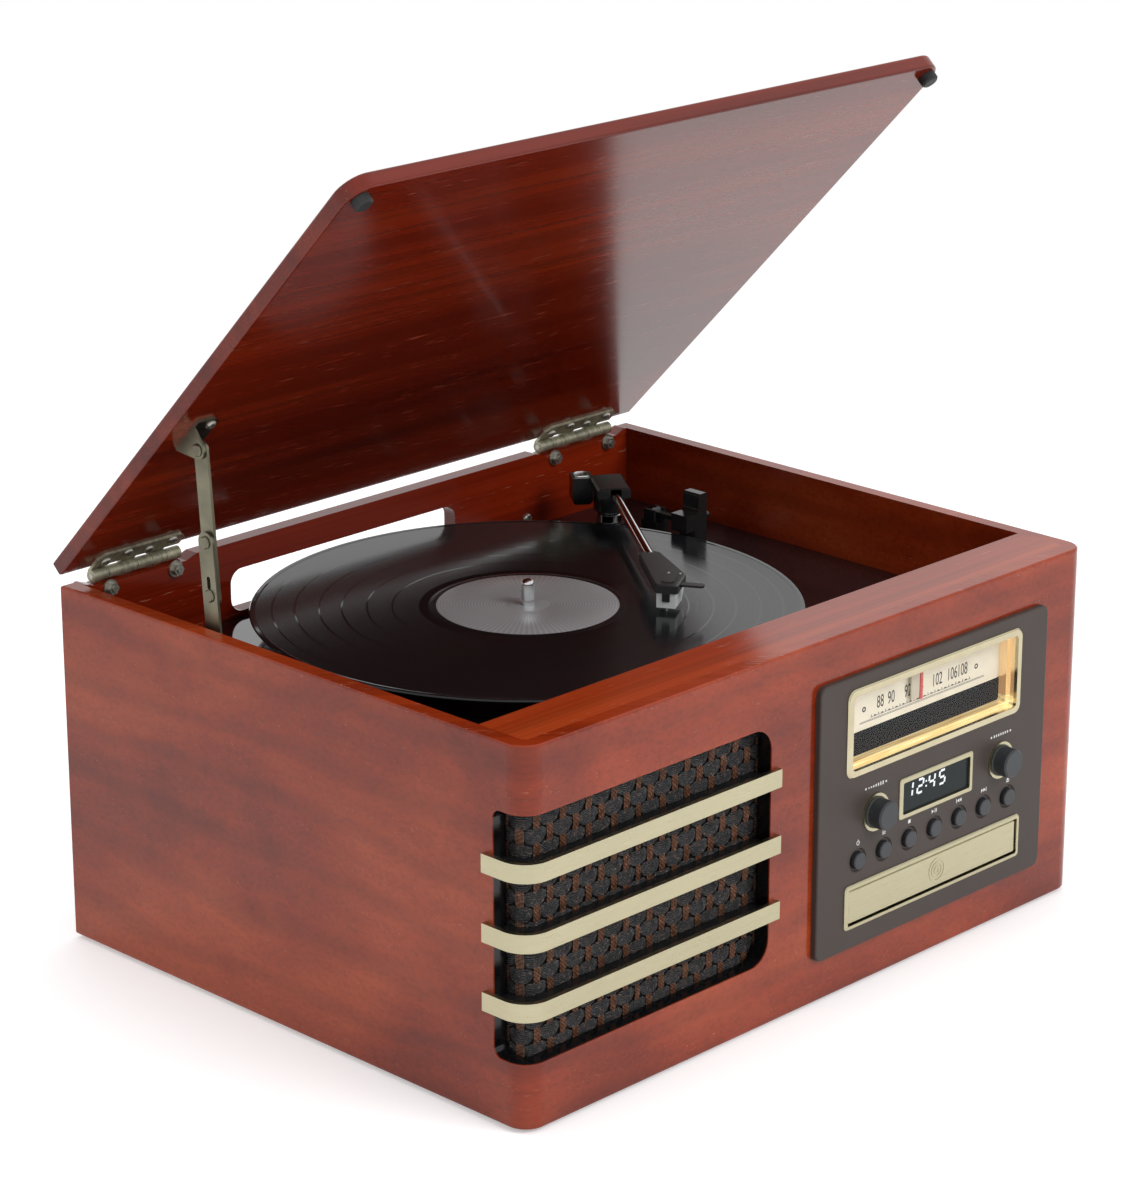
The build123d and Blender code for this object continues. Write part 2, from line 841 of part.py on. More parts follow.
def tonearm_yoke():
    """Pivot housing: a drum on the shaft, a long roof with the throat for the tube, and the side weight."""
    roof_high = deck_top + yoke_top
    roof_low = roof_high - yoke_roof
    drum = extrude(Pos(0, 0, yoke_low) * Circle(9.2), roof_low - yoke_low)
    drum = chamfer(drum.edges().group_by(Axis.Z)[0], 1.5)
    rear, nose = -yoke_back, yoke_length - yoke_back
    near, far = yoke_shift - yoke_width / 2, yoke_shift + yoke_width / 2
    roof = block((rear, nose), (near, far), (roof_low, roof_high))
    roof = chamfer(roof.edges().group_by(Axis.Z)[-1], 1.4)
    throat_half = tube_radius + gap
    rise = (nose - trunnion_x) * math.tan(math.radians(lift_angle))
    throat = block(
        (trunnion_x - tube_radius - gap, nose + 1), (-throat_half, throat_half),
        (tube_low - gap, arm_z + tube_radius + gap + rise),
    )
    weight_high = roof_high - 1
    weight = block(
        (weight_x - weight_length / 2, weight_x + weight_length / 2),
        (weight_y - weight_width / 2, weight_y + weight_width / 2),
        (weight_high - weight_height, weight_high),
    )
    weight = fillet(weight.edges().group_by(Axis.Z)[0], 4)
    bearing = Plane((trunnion_x, -yoke_width / 2, arm_z), x_dir=(1, 0, 0), z_dir=(0, 1, 0))
    bores = extrude(bearing * Circle(trunnion_radius + running), yoke_width - 1)
    shaft = extrude(Pos(0, 0, yoke_low - 1) * Circle(arm_shaft_radius + running), arm_shaft_grip + 1.3)
    body = drum + roof + weight - throat - bores - shaft
    return arm_frame * body


def tonearm_tube():
    """Bright tube on its plug, with the trunnion that it lifts on."""
    frame = Plane((0, 0, 0), x_dir=(0, 1, 0), z_dir=(1, 0, 0))
    outline = frame * (Circle(tube_radius) - Circle(tube_radius - 0.6))
    body = Pos(tube_start, 0, arm_z) * extrude(outline, tube_end - tube_start)
    plug = extrude(frame * Circle(tube_radius), tube_start - trunnion_x)
    body += Pos(trunnion_x, 0, arm_z) * plug
    half = yoke_width / 2 - 2
    bearing = Plane((trunnion_x, -half, arm_z), x_dir=(1, 0, 0), z_dir=(0, 1, 0))
    body += extrude(bearing * Circle(trunnion_radius), 2 * half)
    return arm_frame * body


def headshell():
    """Flat shell from the tube's end to over the cartridge, with the finger lift."""
    shell_high = head_low + headshell_thickness
    joint = arm_frame * Pos(tube_end + headshell_width / 2 - head_socket, 0, head_low) * Circle(headshell_width / 2)
    pad = head_frame * Pos(cartridge_lead - cartridge_length / 2, 0, head_low) * RectangleRounded(
        cartridge_length + 2, headshell_width, 2
    )
    shell = extrude(make_hull([*joint.edges(), *pad.edges()]), headshell_thickness)
    shell = chamfer(shell.edges().group_by(Axis.Z)[-1], 0.8)
    finger = block((-7, -2), (headshell_width / 2 - 1, headshell_width / 2 + finger_length), (0, 1.2))
    finger = fillet(finger.edges().filter_by(Axis.Z).group_by(Axis.Y)[-1], 2)
    finger = head_frame * Pos(0, 0, shell_high - 2.5) * finger
    frame = Plane((tube_end - head_socket - 1, 0, arm_z), x_dir=(0, 1, 0), z_dir=(1, 0, 0))
    socket = arm_frame * extrude(frame * Circle(tube_radius + running), head_socket + 1)
    return shell + finger - socket


def cartridge():
    """Pale cartridge body that tapers to the stylus."""
    top = head_low
    low = top - cartridge_height
    rear = cartridge_lead - cartridge_length
    body = block((rear, cartridge_lead), (-cartridge_width / 2, cartridge_width / 2), (low, top))
    nose = body.edges().filter_by(Axis.Y).group_by(Axis.Z)[0].sort_by(Axis.X)[0]
    body = chamfer(nose, cartridge_height * 0.7, cartridge_height * 0.6)
    tip_low = record_top - record_relief + gap
    tip = Pos(0, 0, tip_low) * extrude(Circle(0.5), low - tip_low + 0.5)
    return head_frame * (body + tip)


def arm_rest():
    """Post with a saddle under the parked tube and a finger that stops it."""
    turn = math.radians(park_angle)
    x = pivot_x + rest_distance * math.cos(turn)
    y = pivot_y + rest_distance * math.sin(turn)
    saddle = tube_low - gap
    depth = (y - rest_depth / 2, y + rest_depth / 2)
    stop = x + tube_radius + gap + 0.4
    right = stop + rest_finger
    head = block((right - rest_width, right), depth, (saddle - rest_head, saddle + rest_finger_rise))
    over_saddle = block((right - rest_width - 1, stop), (depth[0] - 1, depth[1] + 1), (saddle, saddle + 20))
    head -= fillet(over_saddle.edges().filter_by(Axis.Y).group_by(Axis.Z)[0].sort_by(Axis.X)[-1], rest_curve)
    head = fillet(head.edges().filter_by(Axis.Y).group_by(Axis.Z)[-1], 1.2)
    neck = block((right - rest_neck, right), depth, (deck_top, saddle - rest_head + 1))
    foot = block((right - rest_width - 2, right + 2), (depth[0] - 3, depth[1] + 3), (deck_top, deck_top + 2))
    clip_z = saddle - rest_head / 2
    clip = rod_x(y, clip_z, 1.3, right - 1, right + clip_reach)
    clip += rod_x(y, clip_z, 2, right + clip_reach - 3, right + clip_reach)
    return head + neck + foot + clip


def cue_lever():
    """Lever that raises and lowers the arm."""
    z = deck_top + cue_height
    hub = rod_x(cue_y, z, 3.2, cue_x - 3.1, cue_x + 3.1)
    arm = block((cue_x - 2, cue_x + 2), (cue_y - cue_handle, cue_y), (z - 1.2, z + 1.6))
    tip = block((cue_x - 4, cue_x + 4), (cue_y - cue_handle - 4, cue_y - cue_handle + 4), (z - 1.2, z + 2.4))
    tip = fillet(tip.edges().filter_by(Axis.Z), 2)
    return hub + arm + tip - rod_x(cue_y, z, 1.2 + running, cue_x - 6, cue_x + 6)


def speed_switch():
    """Slide knob that passes through its slot in the deck."""
    knob = block((switch_x - 5, switch_x + 5), (switch_y - 3, switch_y + 3), (deck_top + gap, deck_top + 5))
    knob = chamfer(knob.edges().group_by(Axis.Z)[-1], 1)
    return knob + block((switch_x - 1.2, switch_x + 1.2), (switch_y - 2, switch_y + 2), (deck_under - 4, deck_top + 1))


# Front panel

button_names = ["power", "function", "stop", "play", "previous", "next", "eject"]


def button_places():
    """The middle of each button, from left to right."""
    middle = (len(button_names) - 1) / 2
    return [button_x + (i - middle) * button_spacing for i in range(len(button_names))]


board_front = panel_face + panel_thickness + board_setback
stem_end = board_front - switch_gap
switch_front = stem_end + button_travel + gap
display_opening = (display_width - 2 * display_rim, display_height - 2 * display_rim)
tray_opening = (tray_frame_width - 2 * tray_frame_rim, tray_frame_height - 2 * tray_frame_rim)
tray_collar = 1.2


def control_panel():
    """Dark moulded plate with its openings, button dishes and the posts of the switch board."""
    body = plate(panel_x, panel_z, panel_width, panel_height, panel_corner, panel_face, front)
    body = fillet(body.faces().sort_by(Axis.Y)[0].edges(), 1)
    body -= plate(dial_x, dial_z, dial_width - 2, dial_height - 2, dial_corner - 1, panel_face - 1, front + 1)
    body -= plate(display_x, display_z, *display_opening, 1, panel_face - 1, front + 1)
    collar = (size + 2 * tray_collar + gap for size in tray_opening)
    body -= plate(tray_x, tray_z, *collar, 1.5, panel_face - 1, front + 1)
    for x in (volume_x, tuning_x):
        body -= rod_y(x, knob_z, knob_shaft_radius + gap, panel_face - 1, front + 1)
    for x in button_places():
        body -= rod_y(x, button_z, button_radius + gap, panel_face - 1, front + 1)
        dish = rod_y(x, button_z, button_dish, panel_face - 1, panel_face + button_dish_depth)
        body -= chamfer(dish.edges().group_by(Axis.Y)[-1], button_dish_depth * 0.9)
    post_x = panel_width / 2 - post_inset
    for x in (panel_x - post_x, panel_x + post_x):
        for z in (button_z - board_under + 4, knob_z + board_over - 5):
            body += rod_y(x, z, post_radius, front - 1, board_front)
    return body


def dial_bezel():
    """Gold frame with a stepped surround that runs back to the scale."""
    width, height = dial_width, dial_height
    rear = panel_face + dial_depth + dial_plate_thickness
    body = plate(dial_x, dial_z, width, height, dial_corner, panel_face - dial_flange, panel_face)
    body = chamfer(body.faces().sort_by(Axis.Y)[0].edges(), 0.8)
    body += plate(dial_x, dial_z, width - 2.6, height - 2.6, dial_corner - 1.2, panel_face, rear)
    step_one = (width - 2 * dial_rim, height - 2 * dial_rim)
    step_two = (width - 2 * dial_rim - 2 * dial_step, height - 2 * dial_rim - 2 * dial_step)
    half_depth = panel_face + dial_depth / 2
    body -= plate(dial_x, dial_z, *step_one, dial_corner - 3, panel_face - 5, half_depth)
    body -= plate(dial_x, dial_z, *step_two, dial_corner - 4, panel_face - 5, rear + 1)
    seat = (step_two[0] + 2 * dial_wall, step_two[1] + 2 * dial_wall)
    return body - plate(dial_x, dial_z, *seat, 1, panel_face + dial_depth, rear + 1)


dial_seat_width = dial_width - 2 * dial_rim - 2 * dial_step + 2 * dial_wall
dial_seat_height = dial_height - 2 * dial_rim - 2 * dial_step + 2 * dial_wall
dial_floor = dial_z - dial_seat_height / 2
dial_plate_top = dial_z + dial_seat_height / 2 - 3
pointer_front = panel_face + dial_depth - 3
plate_front = panel_face + dial_depth


def dial_plate():
    """Scale plate with the raised strip along its foot."""
    rear = plate_front + dial_plate_thickness
    body = plate(dial_x, dial_z, dial_seat_width - 0.2, dial_seat_height - 0.2, 1, plate_front, rear)
    body -= block((dial_x - dial_width, dial_x + dial_width), (plate_front - 1, rear + 1),
                  (dial_plate_top, dial_plate_top + 20))
    inner = dial_seat_width / 2 - dial_wall - 0.2
    low = dial_floor + dial_wall + 0.2
    strip = plate(dial_x, low + dial_strip_height / 2, 2 * inner, dial_strip_height, dial_corner - 4,
                  plate_front - dial_strip_relief, plate_front + 0.5)
    return body + strip


def dial_glass():
    """Clear window just inside the gold frame."""
    width = dial_width - 2 * dial_rim - 0.1
    height = dial_height - 2 * dial_rim - 0.1
    return plate(dial_x, dial_z, width, height, dial_corner - 3, panel_face, panel_face + 1.2)


def dial_pointer():
    """Red pointer on its carriage, hooked over the top of the scale plate."""
    top = dial_plate_top + gap
    hook_high = top + 0.8
    half = pointer_width / 2
    bar = block((pointer_x - half, pointer_x + half), (pointer_front, pointer_front + 1.2),
                (dial_plate_top - pointer_height, hook_high))
    saddle = block((pointer_x - half - carriage_width, pointer_x - half + 0.2), (pointer_front + 0.4, pointer_front + 1.2),
                   (dial_plate_top - pointer_height + 1, hook_high))
    rear = plate_front + dial_plate_thickness + gap
    hook = block((pointer_x - carriage_width, pointer_x + half), (pointer_front, rear + 1.0), (top, hook_high))
    slider = block((pointer_x - carriage_width, pointer_x + half), (rear, rear + 1.0), (top - 3, hook_high))
    return bar + saddle + hook + slider


def display_window():
    """Dark window of the display."""
    size = (side - 0.1 for side in display_opening)
    return plate(display_x, display_z, *size, 1, panel_face + 0.5, front)


def panel_trim():
    """Gold display frame and the gold ring round each knob."""
    face = panel_face
    frame = plate(display_x, display_z, display_width, display_height, display_corner, face - trim_height, face)
    frame = chamfer(frame.faces().sort_by(Axis.Y)[0].edges(), 0.5)
    frame -= plate(display_x, display_z, *display_opening, 1, face - 2, face + 1)
    rings = []
    for x in (volume_x, tuning_x):
        ring = rod_y(x, knob_z, ring_radius, face - trim_height, face)
        rings.append(ring - rod_y(x, knob_z, ring_radius - ring_width, face - 2, face + 1))
    return [frame, *rings]


def knob(x):
    """Turned knob with its grip, its domed face and its shaft."""
    near, far = panel_face - gap, panel_face - knob_length
    profile = Polyline(
        (0, near), (knob_radius, near), (knob_radius, near - 1.2), (knob_radius - knob_draft, near - 1.6),
        (knob_radius - 2 * knob_draft, far + 0.9), (knob_radius - 2 * knob_draft - 0.9, far), (0, far), close=True,
    )
    body = revolve(make_face(profile), Axis.Y)
    grooves = PolarLocations(knob_radius - knob_draft + 0.35, 18)
    cutter = rod_y(0, 0, 0.55, far - 1, near - 2)
    for place in grooves:
        at = place.position
        body -= Pos(at.X, 0, at.Y) * cutter
    body += rod_y(0, 0, knob_shaft_radius, near - 1, board_front + 1)
    return Pos(x, 0, knob_z) * body


def button(x):
    """Round push button with its stem."""
    far = panel_face - button_proud
    cap = rod_y(x, button_z, button_radius, far, front - 0.6)
    cap = fillet(cap.edges().group_by(Axis.Y)[0], 0.8)
    return cap + rod_y(x, button_z, stem_radius, front - 1, stem_end)


def control_board():
    """Board behind the panel with its switches, the two controls and the display."""
    near = board_front
    far = near + board_thickness
    low, high = button_z - board_under, knob_z + board_over
    half = panel_width / 2 - 2 * board_margin
    body = block((panel_x - half, panel_x + half), (near, far), (low, high))
    half = switch_body / 2
    for x in button_places():
        body += block((x - half, x + half), (switch_front, near), (button_z - half, button_z + half))
    half = control_body / 2
    for x in (volume_x, tuning_x):
        body += block((x - half, x + half), (far, far + control_depth), (knob_z - half, knob_z + half))
        body += rod_y(x, knob_z, control_bush, near - 6, near)
        body -= rod_y(x, knob_z, knob_shaft_radius + running, near - 7, near + 1 + gap)
    width, height = display_opening
    body += block((display_x - width / 2, display_x + width / 2), (front + gap, near),
                  (display_z - height / 2 + 1, display_z + height / 2 - 1))
    return body


# Disc tray

tray_top = tray_z - tray_drop + tray_thickness / 2
tray_low = tray_top - tray_thickness
tray_front_back = panel_face - 0.5 + tray_front_thickness


def cd_tray_frame():
    """Gold frame of the tray slot."""
    width, height = tray_opening
    face = panel_face
    body = plate(tray_x, tray_z, tray_frame_width, tray_frame_height, tray_frame_corner, face - 1.2, face)
    body = chamfer(body.faces().sort_by(Axis.Y)[0].edges(), 0.7)
    body += plate(tray_x, tray_z, width + 2 * tray_collar, height + 2 * tray_collar, 1.5, face, front)
    return body - plate(tray_x, tray_z, width, height, 1, face - 2, front + 1)


def cd_tray_front():
    """Gold front plate of the tray."""
    width, height = tray_opening
    near = panel_face - 0.5
    body = plate(tray_x, tray_z, width - 2 * tray_front_gap, height - 2 * tray_front_gap, 1.2, near, tray_front_back)
    return chamfer(body.faces().sort_by(Axis.Y)[0].edges(), 0.6)


def cd_tray():
    """Sliding tray with the disc pocket and the slot for the pick-up."""
    near = tray_front_back
    body = block((tray_x - tray_width / 2, tray_x + tray_width / 2), (near, near + tray_length), (tray_low, tray_top))
    disc_middle = near + 6 + disc_radius
    body -= rod_z(tray_x, disc_middle, disc_radius, tray_top - disc_pocket, tray_top + 1)
    body -= rod_z(tray_x, disc_middle, 14, tray_low - 1, tray_top + 1)
    body -= block((tray_x - 16, tray_x + 16), (disc_middle, near + tray_length - 8), (tray_low - 1, tray_top + 1))
    return body


def cd_drive():
    """Open-fronted drive housing with the rails that carry the tray, on four posts."""
    half = tray_width / 2 + gap
    near = inner_front + 3
    far = near + drive_length
    low = tray_low - drive_floor_drop
    high = tray_top + drive_headroom
    body = block((tray_x - half - drive_wall, tray_x + half + drive_wall), (near, far), (low, high))
    body -= block((tray_x - half, tray_x + half), (near - 1, far - drive_wall), (low + drive_wall, high - drive_wall))
    for side in (-1, 1):
        edge = tray_x + side * half
        rail = sorted((edge, edge - side * 6))
        body += block(rail, (near, far - drive_wall), (low + 1, tray_low - gap))
        body += block(rail, (near, far - drive_wall), (tray_top + gap, tray_top + 3))
    middle = tray_front_back + 6 + disc_radius
    body += rod_z(tray_x, middle, 11, low + 1, tray_low - 1.5)
    body += block((tray_x - 12, tray_x + 12), (middle + 16, middle + 44), (low + 1, tray_low - 2))
    for x in (tray_x - half + 4, tray_x + half - 4):
        for y in (near + 10, far - 10):
            body += rod_z(x, y, 4, board, low + 1)
    return body


# Grille


def driver_places():
    """The middle of each loudspeaker."""
    return (driver_x - driver_spacing / 2, driver_x + driver_spacing / 2)


grille_middle = (grille_low + grille_high) / 2
grille_rear = front + grille_back
cloth_inset = cloth_depth + cloth_thickness
baffle_inset = cloth_inset + baffle_thickness


def speaker_baffle():
    """Baffle behind the grille: a board round the corner with a raised border against the walls."""
    border = baffle_border + baffle_rim
    right, rear = grille_right + border, grille_rear + border
    low, high = grille_low - border, grille_high + border
    body = corner_band((board, baffle_inset), (inner_corner + 1, 1), right, rear, low, high)
    pocket = corner_band(
        (board - 1, cloth_inset), (1, cloth_corner - cloth_thickness),
        right - baffle_rim, rear - baffle_rim, low + baffle_rim, high - baffle_rim,
    )
    body -= pocket
    for x in driver_places():
        body -= rod_y(x, grille_middle, driver_radius, inner_front - 1, front + baffle_inset + 1)
    return body


def grille_cloth():
    """Stretched cloth in front of the baffle."""
    right, rear = grille_right + baffle_border, grille_rear + baffle_border
    return corner_band(
        (cloth_depth, cloth_inset), (cloth_corner, cloth_corner - cloth_thickness), right - gap, rear - gap,
        grille_low - baffle_border + gap, grille_high + baffle_border - gap,
    )


def bar_heights():
    """The middle height of each bar."""
    return [grille_middle + (i - (bar_count - 1) / 2) * bar_pitch for i in range(bar_count)]


def grille_bars():
    """Gold bars that wrap the corner and lap onto the wood at both ends."""
    bars = []
    for z in bar_heights():
        band = corner_band(
            (-bar_thickness, 0), (corner_radius + bar_thickness, corner_radius),
            grille_right + bar_lap, grille_rear + bar_lap, z - bar_height / 2, z + bar_height / 2,
        )
        bars.append(band)
    return bars


def grille_fins():
    """Black fins that carry the bars across the opening."""
    fins = []
    for z in bar_heights():
        band = corner_band(
            (0, cloth_depth - gap), (corner_radius, cloth_corner + gap),
            grille_right - gap, grille_rear - gap, z - fin_height / 2, z + fin_height / 2,
        )
        fins.append(band)
    return fins


def speaker_driver(x):
    """Loudspeaker behind the baffle: basket, cone and magnet."""
    face = front + baffle_inset
    cone_radius = driver_radius - 3
    profile = Polyline(
        (driver_radius + 3, face), (driver_radius + 3, face + 2), (driver_radius - 4, face + 2),
        (magnet_radius, face + driver_depth - magnet_depth), (magnet_radius, face + driver_depth),
        (0, face + driver_depth),
        (0, face + 13), (10, face + 10), (cone_radius, face), close=True,
    )
    return Pos(x, 0, grille_middle) * revolve(make_face(profile), Axis.Y)


# Rear sockets and amplifier board


def rear_sockets():
    """Socket plate with the line-out pair and the low-voltage inlet."""
    face = back + socket_plate_thickness
    body = plate(socket_x, socket_z, socket_plate_width, socket_plate_height, 3, back, face)
    sockets = (socket_x + 4, socket_x + 4 + socket_spacing)
    for x in sockets:
        body += rod_y(x, socket_z, socket_radius, back - 6, face + socket_length)
    body += block((socket_x - 24, socket_x - 10), (back - 10, back + 1), (socket_z - 5, socket_z + 5))
    for x in sockets:
        body -= rod_y(x, socket_z, socket_hole, back - 4, face + socket_length + 1)
    return body - rod_y(socket_x - 17, socket_z, jack_radius, back - 8, face + 1)


def amplifier_board():
    """Amplifier and tuner board on its posts, with its heat sink and capacitors."""
    low = board + amp_post
    high = low + board_thickness
    x_low, x_high = amp_x - amp_width / 2, amp_x + amp_width / 2
    y_low, y_high = amp_y - amp_depth / 2, amp_y + amp_depth / 2
    body = block((x_low, x_high), (y_low, y_high), (low, high))
    for x in (x_low + amp_hole_inset, x_high - amp_hole_inset):
        for y in (y_low + amp_hole_inset, y_high - amp_hole_inset):
            body += rod_z(x, y, amp_hole_inset / 2, board, low)
    sink_x = x_low + 2 * amp_hole_inset
    sink_y = y_high - amp_hole_inset - sink_depth
    sink = block((sink_x, sink_x + sink_width), (sink_y, sink_y + sink_depth / 4), (high, high + sink_height))
    for i in range(int(sink_width / fin_pitch) + 1):
        x = sink_x + 1 + i * fin_pitch
        sink += block((x, x + 2), (sink_y, sink_y + sink_depth), (high, high + sink_height))
    body += sink
    for i in range(3):
        x = x_high - (3 * i + 3) * capacitor_radius
        body += rod_z(x, amp_y - 2 * capacitor_radius, capacitor_radius, high, high + capacitor_height)
    near = y_low + 2 * amp_hole_inset
    square = ((sink_x, sink_x + transformer_size), (near, near + 0.7 * transformer_size))
    return body + block(*square, (high, high + 0.3 * transformer_size))


# Write every node

save("cabinet_shell", cabinet_shell())
save("back_panel", back_panel())
save("base_board", base_board())
save("top_rail", top_rail())
save("feet", *feet())
save("deck_cleats", *deck_cleats())
save("deck_plate", deck_plate())

save("lid_board", lid_board())
save("lid_bumpers", *lid_bumpers())
save("lid_hinge_leaves", lid_hinge_leaf(-hinge_x), lid_hinge_leaf(hinge_x))
save("cabinet_hinge_leaves", cabinet_hinge_leaf(-hinge_x), cabinet_hinge_leaf(hinge_x))
save("hinge_pins", hinge_pin(-hinge_x), hinge_pin(hinge_x))
bolt_places = [side * hinge_x + end * bolt_spacing / 2 for side in (-1, 1) for end in (-1, 1)]
save("hinge_bolts", *[solid for x in bolt_places for solid in hinge_bolt(x)])
save("stay_lid_bracket", stay_lid_bracket())
save("stay_upper_arm", stay_upper_arm())
save("stay_lower_arm", stay_lower_arm())
save("stay_wall_bracket", stay_wall_bracket())

save("spindle", spindle())
save("platter", platter())
save("platter_mat", platter_mat())
save("record", record())
save("motor_pulley", motor_pulley())
save("drive_motor", drive_motor())
save("drive_belt", drive_belt())
save("tonearm_base", *tonearm_base())
save("tonearm_yoke", tonearm_yoke())
save("tonearm_tube", tonearm_tube())
save("headshell", headshell())
save("cartridge", cartridge())
save("arm_rest", arm_rest())
save("cue_lever", cue_lever())
save("speed_switch", speed_switch())

save("control_panel", control_panel())
save("dial_bezel", dial_bezel())
save("dial_plate", dial_plate())
save("dial_glass", dial_glass())
save("dial_pointer", dial_pointer())
save("display_window", display_window())
save("panel_trim", *panel_trim())
save("volume_knob", knob(volume_x))
save("tuning_knob", knob(tuning_x))
for name, x in zip(button_names, button_places()):
    save(f"{name}_button", button(x))
save("control_board", control_board())

save("cd_tray_frame", cd_tray_frame())
save("cd_tray_front", cd_tray_front())
save("cd_tray", cd_tray())
save("cd_drive", cd_drive())

save("speaker_baffle", speaker_baffle())
save("grille_cloth", grille_cloth())
save("grille_bars", *grille_bars())
save("grille_fins", *grille_fins())
save("speaker_drivers", *[speaker_driver(x) for x in driver_places()])
save("rear_sockets", rear_sockets())
save("amplifier_board", amplifier_board())

print_stay_ratios()
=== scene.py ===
import json
import math
import bmesh
import bpy
from mathutils import Matrix, Vector


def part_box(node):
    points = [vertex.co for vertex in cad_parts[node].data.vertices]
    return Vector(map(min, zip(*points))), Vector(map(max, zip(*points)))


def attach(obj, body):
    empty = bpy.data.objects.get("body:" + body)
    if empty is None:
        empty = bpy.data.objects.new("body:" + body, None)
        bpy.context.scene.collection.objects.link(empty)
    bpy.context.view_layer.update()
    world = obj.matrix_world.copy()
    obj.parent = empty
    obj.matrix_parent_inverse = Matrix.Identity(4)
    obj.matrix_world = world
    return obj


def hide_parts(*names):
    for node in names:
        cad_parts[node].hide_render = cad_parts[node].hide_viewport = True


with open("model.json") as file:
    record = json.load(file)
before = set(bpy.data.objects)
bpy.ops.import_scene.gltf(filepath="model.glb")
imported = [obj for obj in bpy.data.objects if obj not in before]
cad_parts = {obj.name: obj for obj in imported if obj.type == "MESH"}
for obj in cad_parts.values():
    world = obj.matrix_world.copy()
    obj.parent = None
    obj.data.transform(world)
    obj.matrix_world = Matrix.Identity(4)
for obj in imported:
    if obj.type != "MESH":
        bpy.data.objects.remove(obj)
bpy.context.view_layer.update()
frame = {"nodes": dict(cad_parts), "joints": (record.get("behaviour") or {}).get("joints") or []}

nodes = frame["nodes"]
joints = {joint["name"]: joint for joint in frame["joints"]}

# Camera at the photograph's view. The lens is long and looks at the player from its left front corner,
# a little from above, so the lid's underside, the deck, the grille and the panel all show.
camera_data = bpy.data.cameras.new("camera")
camera_data.lens = 114.5
camera_data.sensor_width = 36.0
camera_data.clip_end = 50.0
camera = bpy.data.objects.new("camera", camera_data)
bpy.context.scene.collection.objects.link(camera)
camera.location = (-1.3953, -1.3500, 0.8433)
camera_target = Vector((0.0122, 0.0241, 0.1741))
camera.rotation_euler = (camera_target - camera.location).to_track_quat("-Z", "Y").to_euler()
bpy.context.scene.camera = camera
bpy.context.scene.view_settings.view_transform = "Standard"


# White studio: a pale floor that keeps a soft shadow, and a surround that is white to the camera and in
# reflections but lights the player only gently.
def new_material(name):
    """An empty node material with its output, its node tree and a short way to add nodes."""
    material = bpy.data.materials.new(name)
    material.use_nodes = True
    tree = material.node_tree
    tree.nodes.clear()
    return material, tree


def node(tree, kind, **settings):
    """A new shader node; settings that name an input give its value, the others are the node's own."""
    made = tree.nodes.new("ShaderNode" + kind)
    for name, value in settings.items():
        label = name.replace("_", " ")
        if hasattr(made, name):
            setattr(made, name, value)
        elif label in made.inputs:
            made.inputs[label].default_value = value
        else:
            raise KeyError(f"{kind} has no {name}")
    return made


def seen_directly(tree):
    """1 for rays from the camera, and for those seen in metal, lacquer or glass."""
    path = node(tree, "LightPath")
    first = node(tree, "Math", operation="MAXIMUM")
    second = node(tree, "Math", operation="MAXIMUM")
    tree.links.new(path.outputs["Is Camera Ray"], first.inputs[0])
    tree.links.new(path.outputs["Is Glossy Ray"], first.inputs[1])
    tree.links.new(first.outputs[0], second.inputs[0])
    tree.links.new(path.outputs["Is Transmission Ray"], second.inputs[1])
    return second.outputs[0]


def product(tree, *values):
    """The product of several values, each a socket or, after the first, a number."""
    result = values[0]
    for value in values[1:]:
        made = node(tree, "Math", operation="MULTIPLY")
        tree.links.new(result, made.inputs[0])
        if isinstance(value, (int, float)):
            made.inputs[1].default_value = value
        else:
            tree.links.new(value, made.inputs[1])
        result = made.outputs[0]
    return result


world = bpy.data.worlds.new("studio")
world.use_nodes = True
bpy.context.scene.world = world
sky = world.node_tree
sky.nodes.clear()
room = node(sky, "Background", Color=(1.0, 0.99, 0.98, 1), Strength=0.40)
white = node(sky, "Background", Color=(1, 1, 1, 1), Strength=1.0)
choose = node(sky, "MixShader")
sky.links.new(seen_directly(sky), choose.inputs[0])
sky.links.new(room.outputs[0], choose.inputs[1])
sky.links.new(white.outputs[0], choose.inputs[2])
sky.links.new(choose.outputs[0], node(sky, "OutputWorld").inputs[0])

floor_paint, tree = new_material("floor_paint")
matt = node(tree, "BsdfDiffuse", Color=(0.82, 0.82, 0.83, 1))
lift = node(tree, "Emission", Color=(1, 1, 1, 1))
near_lift = 0.36
fade_start, fade_end = 0.45, 1.6
both = node(tree, "AddShader")
tree.links.new(product(tree, seen_directly(tree), near_lift), lift.inputs["Strength"])
tree.links.new(matt.outputs[0], both.inputs[0])
tree.links.new(lift.outputs[0], both.inputs[1])
distance = node(tree, "VectorMath", operation="LENGTH")
tree.links.new(node(tree, "TexCoord").outputs["Object"], distance.inputs[0])
far_off = node(tree, "MapRange", interpolation_type="SMOOTHSTEP")
tree.links.new(distance.outputs["Value"], far_off.inputs[0])
far_off.inputs[1].default_value = fade_start
far_off.inputs[2].default_value = fade_end
faded = node(tree, "MixShader")
tree.links.new(product(tree, far_off.outputs[0], seen_directly(tree)), faded.inputs[0])
tree.links.new(both.outputs[0], faded.inputs[1])
tree.links.new(node(tree, "Emission", Color=(1, 1, 1, 1)).outputs[0], faded.inputs[2])
tree.links.new(faded.outputs[0], node(tree, "OutputMaterial").inputs[0])
floor_mesh = bpy.data.meshes.new("floor")
floor_edge = 8.0
floor_corners = [(x * floor_edge, y * floor_edge, 0) for x, y in ((-1, -1), (1, -1), (1, 1), (-1, 1))]
floor_mesh.from_pydata(floor_corners, [], [(0, 1, 2, 3)])
floor_mesh.materials.append(floor_paint)
floor = bpy.data.objects.new("floor", floor_mesh)
bpy.context.scene.collection.objects.link(floor)

